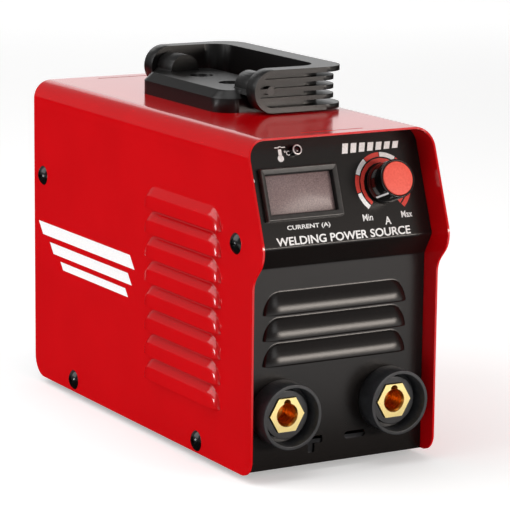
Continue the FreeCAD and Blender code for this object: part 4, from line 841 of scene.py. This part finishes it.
def rings(name, loops, material, place, body, slot=None, closed=True):
    """Skins a row of closed loops of (x, y, z) points; closed caps the first and last."""
    bm = bmesh.new()
    rows = [[bm.verts.new(point) for point in loop] for loop in loops]
    for low, high in zip(rows, rows[1:]):
        for i in range(len(low)):
            j = (i + 1) % len(low)
            bm.faces.new((low[i], low[j], high[j], high[i]))
    if closed:
        bm.faces.new(rows[0][::-1])
        bm.faces.new(rows[-1])
    else:
        for i in range(len(rows[0])):
            j = (i + 1) % len(rows[0])
            bm.faces.new((rows[-1][i], rows[-1][j], rows[0][j], rows[0][i]))
    bmesh.ops.recalc_face_normals(bm, faces=bm.faces)
    bmesh.ops.transform(bm, matrix=place, verts=bm.verts)
    return finish_mesh(name, bm, material, body)


def lathe(name, profile, material, place, body, slot=None, closed=True, steps=72):
    """Turns a profile of (radius, height) about the local Z axis."""
    loops = []
    for radius, height in profile:
        loops.append([Vector((*point, height)) for point in arc(radius, 0, 360 - 360 / steps, steps - 1)])
    return rings(name, loops, material, place, body, slot, closed)


def on_panel(across, up, out=0.0):
    """Placement across, up and out of the sloping panel."""
    return PANEL_PLACE @ Matrix.Translation((across, up, out))


def make_knob():
    """Black knob with a foot flange, and a thin rim round its red cap."""
    at_knob = on_panel(*KNOB_PLACE)
    body = ((9.0, 1.4), (10.9, 1.4), (11.3, 1.8), (11.3, 2.7), (11.05, 3.0), (10.85, 15.0), (10.75, 15.6),
            (10.4, 16.0), (9.9, 16.0), (9.55, 15.6), (9.5, 14.8), (2.0, 14.8))
    knob = lathe("knob_body", body, "black_gloss_abs", at_knob, "current_knob", "knob_plastic")
    soften(knob, 0.15, 30)
    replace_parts(knob, "knob")
    cap = ((2.0, 14.9), (9.3, 14.9), (9.35, 15.7), (9.1, 16.1), (8.4, 16.3), (4.0, 16.42), (0.4, 16.45))
    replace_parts(lathe("knob_insert", cap, "matt_red_cap", at_knob, "current_knob", "cap_red"), "knob_cap")
    make_knob_pointer(at_knob)


def make_knob_pointer(at_knob):
    """White line up the side of the knob, turned towards Min."""
    section = ((-1, -0.4), (1, -0.4), (1, 0.06), (-1, 0.06))
    stations = ((3.2, 10.95, 0.45), (3.4, 11.12, 0.55), (15.2, 10.98, 0.55), (15.6, 10.7, 0.4))
    loops = []
    for height, radius, half in stations:
        loops.append([Vector((x * half, -radius - y, height)) for x, y in section])
    turn = Matrix.Rotation(math.radians(-45), 4, "Z")
    rings("knob_pointer", loops, "side_white_ink", at_knob @ turn, "current_knob")


def make_lamp():
    """Black shell with a bright rim round a small ruby dome."""
    at_lamp = on_panel(*LAMP_PLACE)
    shell = ((1.95, -1.0), (2.55, -1.0), (2.55, 0.02), (2.9, 0.02), (2.9, 3.6), (2.7, 3.75), (1.95, 3.75))
    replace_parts(lathe("lamp_shell", shell, "black_gloss_abs", at_lamp, "case", "lamp_metal", closed=False),
                "lamp_bezel")
    rim = ((2.1, 3.7), (2.85, 3.65), (2.85, 3.95), (2.65, 4.15), (2.4, 4.2), (2.15, 4.1), (2.05, 3.85))
    lathe("lamp_rim", rim, "plated_lamp_ring", at_lamp, "case", "lamp_metal", closed=False)
    lens = ((1.9, -1.0), (1.9, 2.7), (1.75, 3.1), (1.4, 3.4), (0.8, 3.6), (0.1, 3.66))
    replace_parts(lathe("lamp_dome", lens, "ruby_lens", at_lamp, "case", "lamp_red"), "lamp_lens")


def rectangle_loop(half_width, half_height, corner, out):
    """Closed rectangle with rounded corners, at a distance out of its plane."""
    corners = [(x * half_width, y * half_height, corner) for x, y in SQUARE]
    return [Vector((*point, out)) for point in rounded(corners, 5)]


def make_meter():
    """Mitred frame round a deep recess, its shade painted as a matt black sheet, with the smoked window at
    its bottom.
    """
    at_meter = on_panel(*METER_PLACE)
    frame_loops = ((21.3, 11.3, 0.3, -12.0), (22.5, 13.0, 0.3, -12.0), (22.5, 13.0, 0.3, 0.03),
                   (24.0, 14.5, 0.8, 0.03), (24.0, 14.5, 0.8, 2.3), (23.5, 14.0, 0.7, 2.95),
                   (23.1, 13.6, 0.6, 3.0), (21.6, 11.7, 0.4, 2.3), (21.3, 11.3, 0.3, 2.1))
    loops = [rectangle_loop(*loop) for loop in frame_loops]
    frame_piece = rings("meter_frame", loops, "bezel_abs", at_meter, "case", "bezel_plastic", closed=False)
    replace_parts(soften(frame_piece, 0.15, 20), "meter_bezel")
    # a matt black sheet lines the recess as painted shade
    shade_loops = [rectangle_loop(21.29, 11.29, 0.3, out) for out in (1.9, -1.4)]
    shade_loops += [rectangle_loop(21.0, 11.0, 0.2, out) for out in (-1.4, 1.9)]
    rings("meter_painted_shade", shade_loops, "painted_shade_black", at_meter, "case", closed=False)
    glass = [rectangle_loop(20.9, 10.9, 0.3, out) for out in (-1.4, -1.1)]
    glass.append(rectangle_loop(20.6, 10.6, 0.3, -0.9))
    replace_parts(rings("meter_glass", glass, "smoked_acrylic", at_meter, "case", "tinted_window"),
                "meter_window")


def make_socket_bores():
    """Locking grooves turned inside each brass socket."""
    grooves, first, pitch = 6, 0.4, 2.4
    inward = Matrix.Rotation(math.radians(-90), 4, "X")
    for name, side in (("positive", -1), ("negative", 1)):
        place = Matrix.Translation((side * SOCKET_X, SOCKET_FACE, FLOOR + SOCKET_HEIGHT)) @ inward
        inner = [(6.55, 0.0)]
        for index in range(grooves):
            start = first + pitch * index
            inner += [(6.1, start), (5.75, start + 0.5), (5.75, start + 0.9), (6.3, start + 1.6)]
        inner += [(2.0, 15.2), (2.0, 15.6), (6.55, 15.6)]
        # the bore's brass is darker and more orange as painted shade
        lathe("socket_grooves_" + name, inner, "painted_shade_brass", place, "case", closed=False)


# ---------------------------------------------------------------- CAD nodes that keep their shape

FINISHES = {
    # the chassis tray is darkened as painted shade behind the panel's slots
    "shade_darkened_zinc": "chassis_tray",
    "zinc_plated_steel": "foot_screws foot_nuts handle_nuts potentiometer"
                         " potentiometer_nut fan_guard fan_screws board_standoffs board_screws",
    "fine_black_powder_coat": "rear_panel",
    "blackened_screw_steel": "cover_screws handle_screws",
    "natural_rubber": "feet gland_seal",
    "moulded_handle_nylon": "handle_base handle_bail",
    "moulded_socket_nylon": "socket_housing_positive socket_housing_negative socket_clamp_positive"
                            " socket_clamp_negative",
    "turned_brass": "socket_insert_positive socket_insert_negative socket_nuts earth_screw earth_nut",
    "rolled_copper": "busbar_positive busbar_negative",
    "moulding_compound": "handle_pins meter_display fan_frame fan_rotor switch_housing gland_body"
                         " gland_dome gland_locknut power_transistors output_diodes bridge_rectifier",
    "solder_mask_green": "meter_board main_board control_board",
    "bare_aluminium": "potentiometer_shaft heatsink_inverter heatsink_output",
    "rocker_red": "switch_rocker",
    "white_nylon": "heatsink_spacers transformer_base",
    "shrink_sleeve": "filter_capacitors",
    "relay_blue": "soft_start_relay",
    "sintered_ferrite": "transformer_core",
    "polyester_tape": "transformer_winding",
}
EDGE_RADII = {"handle_base": 0.6, "handle_bail": 0.5, "socket_housing_positive": 0.4,
              "socket_housing_negative": 0.4, "socket_insert_positive": 0.35,
              "socket_insert_negative": 0.35, "fan_guard": 0.22,
              "cover_screws": 0.3, "gland_body": 0.4, "gland_dome": 0.5,
              "switch_housing": 0.4, "switch_rocker": 0.4, "feet": 0.4, "rear_panel": 0.3,
              "fan_frame": 0.4, "fan_screws": 0.2, "earth_screw": 0.2}


def dress_cad_nodes():
    """Gives the nodes that keep their shape their materials and small edge radii."""
    for material, nodes in FINISHES.items():
        for node in nodes.split():
            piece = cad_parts[node]
            piece.data.materials.clear()
            piece.data.materials.append(MATERIALS[material])
            if node in EDGE_RADII:
                soften(piece, EDGE_RADII[node], 35, weld=True)


# ---------------------------------------------------------------- stage

def add_area_light(name, place, target, width, height, watts, colour="#FFFFFF"):
    """A soft box at a place in metres, turned to face a target."""
    data = bpy.data.lights.new(name, "AREA")
    data.shape = "RECTANGLE"
    data.size, data.size_y = width, height
    data.energy = watts
    data.color = linear(colour)[:3]
    lamp = bpy.data.objects.new(name, data)
    lamp.location = place
    lamp.rotation_euler = (Vector(target) - Vector(place)).to_track_quat("-Z", "Y").to_euler()
    lamp.visible_camera = False
    bpy.context.scene.collection.objects.link(lamp)


def make_floor():
    """White paper. Glossy rays find it dark beside and behind the case, as under a black flag."""
    flag_fades_from, flag_full_at = -0.28, -0.19
    bm = bmesh.new()
    bmesh.ops.create_grid(bm, x_segments=1, y_segments=1, size=40.0)
    mesh = bpy.data.meshes.new("floor")
    bm.to_mesh(mesh)
    bm.free()
    material = bpy.data.materials.new("white_paper")
    material.use_nodes = True
    tree = material.node_tree
    tree.nodes.clear()
    pale = add_node(tree, "BsdfPrincipled", values={"Base Color": linear("#F2F2F2"), "Roughness": 0.9,
                                                    "Emission Color": linear("#FFFFFF"),
                                                    "Emission Strength": 0.34,
                                                    "Specular IOR Level": 0.0})
    flag = add_node(tree, "BsdfDiffuse", values={"Color": linear("#1C1C1C")})
    place = add_node(tree, "SeparateXYZ", links={0: add_node(tree, "TexCoord").outputs["Object"]})
    behind = add_node(tree, "MapRange", values={"From Min": flag_fades_from, "From Max": flag_full_at},
                      links={"Value": place.outputs["Y"]})
    rays = add_node(tree, "LightPath")
    flagged = add_node(tree, "Math", {"operation": "MULTIPLY"},
                       links={0: rays.outputs["Is Glossy Ray"], 1: behind.outputs["Result"]})
    mix = add_node(tree, "MixShader", links={0: flagged.outputs[0], 1: pale.outputs[0], 2: flag.outputs[0]})
    add_node(tree, "OutputMaterial", links={"Surface": mix.outputs[0]})
    mesh.materials.append(material)
    floor = bpy.data.objects.new("floor", mesh)
    bpy.context.scene.collection.objects.link(floor)


def make_sky():
    """An even white sky, which looks brighter than it shines."""
    shines, looks = 0.22, 0.6
    world = bpy.data.worlds.new("studio")
    bpy.context.scene.world = world
    world.use_nodes = True
    sky = world.node_tree
    sky.nodes.clear()
    rays = add_node(sky, "LightPath")
    strength = add_node(sky, "MapRange", values={"To Min": shines, "To Max": looks},
                        links={"Value": rays.outputs["Is Camera Ray"]})
    shell = add_node(sky, "Background", values={"Color": linear("#FFFFFF")},
                     links={"Strength": strength.outputs["Result"]})
    add_node(sky, "OutputWorld", links={"Surface": shell.outputs[0]})


def make_lights():
    """Soft boxes round the case, a card behind it and two small lights for its edges."""
    target = (0, 0, 0.09)
    add_area_light("key_box", (-1.6, 0.6, 1.55), target, 2.0, 2.0, 30)
    add_area_light("front_box", (0.2, -2.6, 1.5), target, 1.0, 1.0, 6)
    add_area_light("top_box", (-0.1, -0.3, 2.0), target, 1.4, 1.4, 11)
    add_area_light("back_card", (1.25, 2.15, 0.72), (0, 0, 0.19), 2.6, 1.1, 9.5)
    add_area_light("front_strip", (0.98, -1.86, 0.36), (0, -0.13, 0.08), 0.9, 0.3, 20.0, "#FFF4EA")
    add_area_light("side_kicker", (-0.95, 0.2, 0.06), (-0.06, -0.1, 0.1), 0.12, 0.12, 1.3)


def make_camera():
    """A long lens far back, a little above the case and to its left."""
    azimuth, elevation, roll = (math.radians(angle) for angle in (-29.934, 11.386, 0.6))
    back = Vector((math.sin(azimuth) * math.cos(elevation), -math.cos(azimuth) * math.cos(elevation),
                   math.sin(elevation)))
    level = Vector((0, 0, 1)).cross(back).normalized()
    upright = back.cross(level)
    right = level * math.cos(roll) + upright * math.sin(roll)
    data = bpy.data.cameras.new("camera")
    data.sensor_width = 36.0
    data.lens = 188.44
    data.clip_start, data.clip_end = 0.05, 50.0
    camera = bpy.data.objects.new("camera", data)
    turn = Matrix((right, back.cross(right), back)).transposed().to_4x4()
    camera.matrix_world = Matrix.Translation(Vector((-748.834, -1335.595, 406.199)) * MM) @ turn
    bpy.context.scene.collection.objects.link(camera)
    bpy.context.scene.camera = camera


make_camera()
make_floor()
make_sky()
make_lights()
dress_cad_nodes()
make_cover()
make_front_panel()
make_dial()
make_panel_marks()
make_side_marks()
make_knob()
make_lamp()
make_meter()
make_socket_bores()
bpy.context.scene.view_settings.view_transform = "Standard"
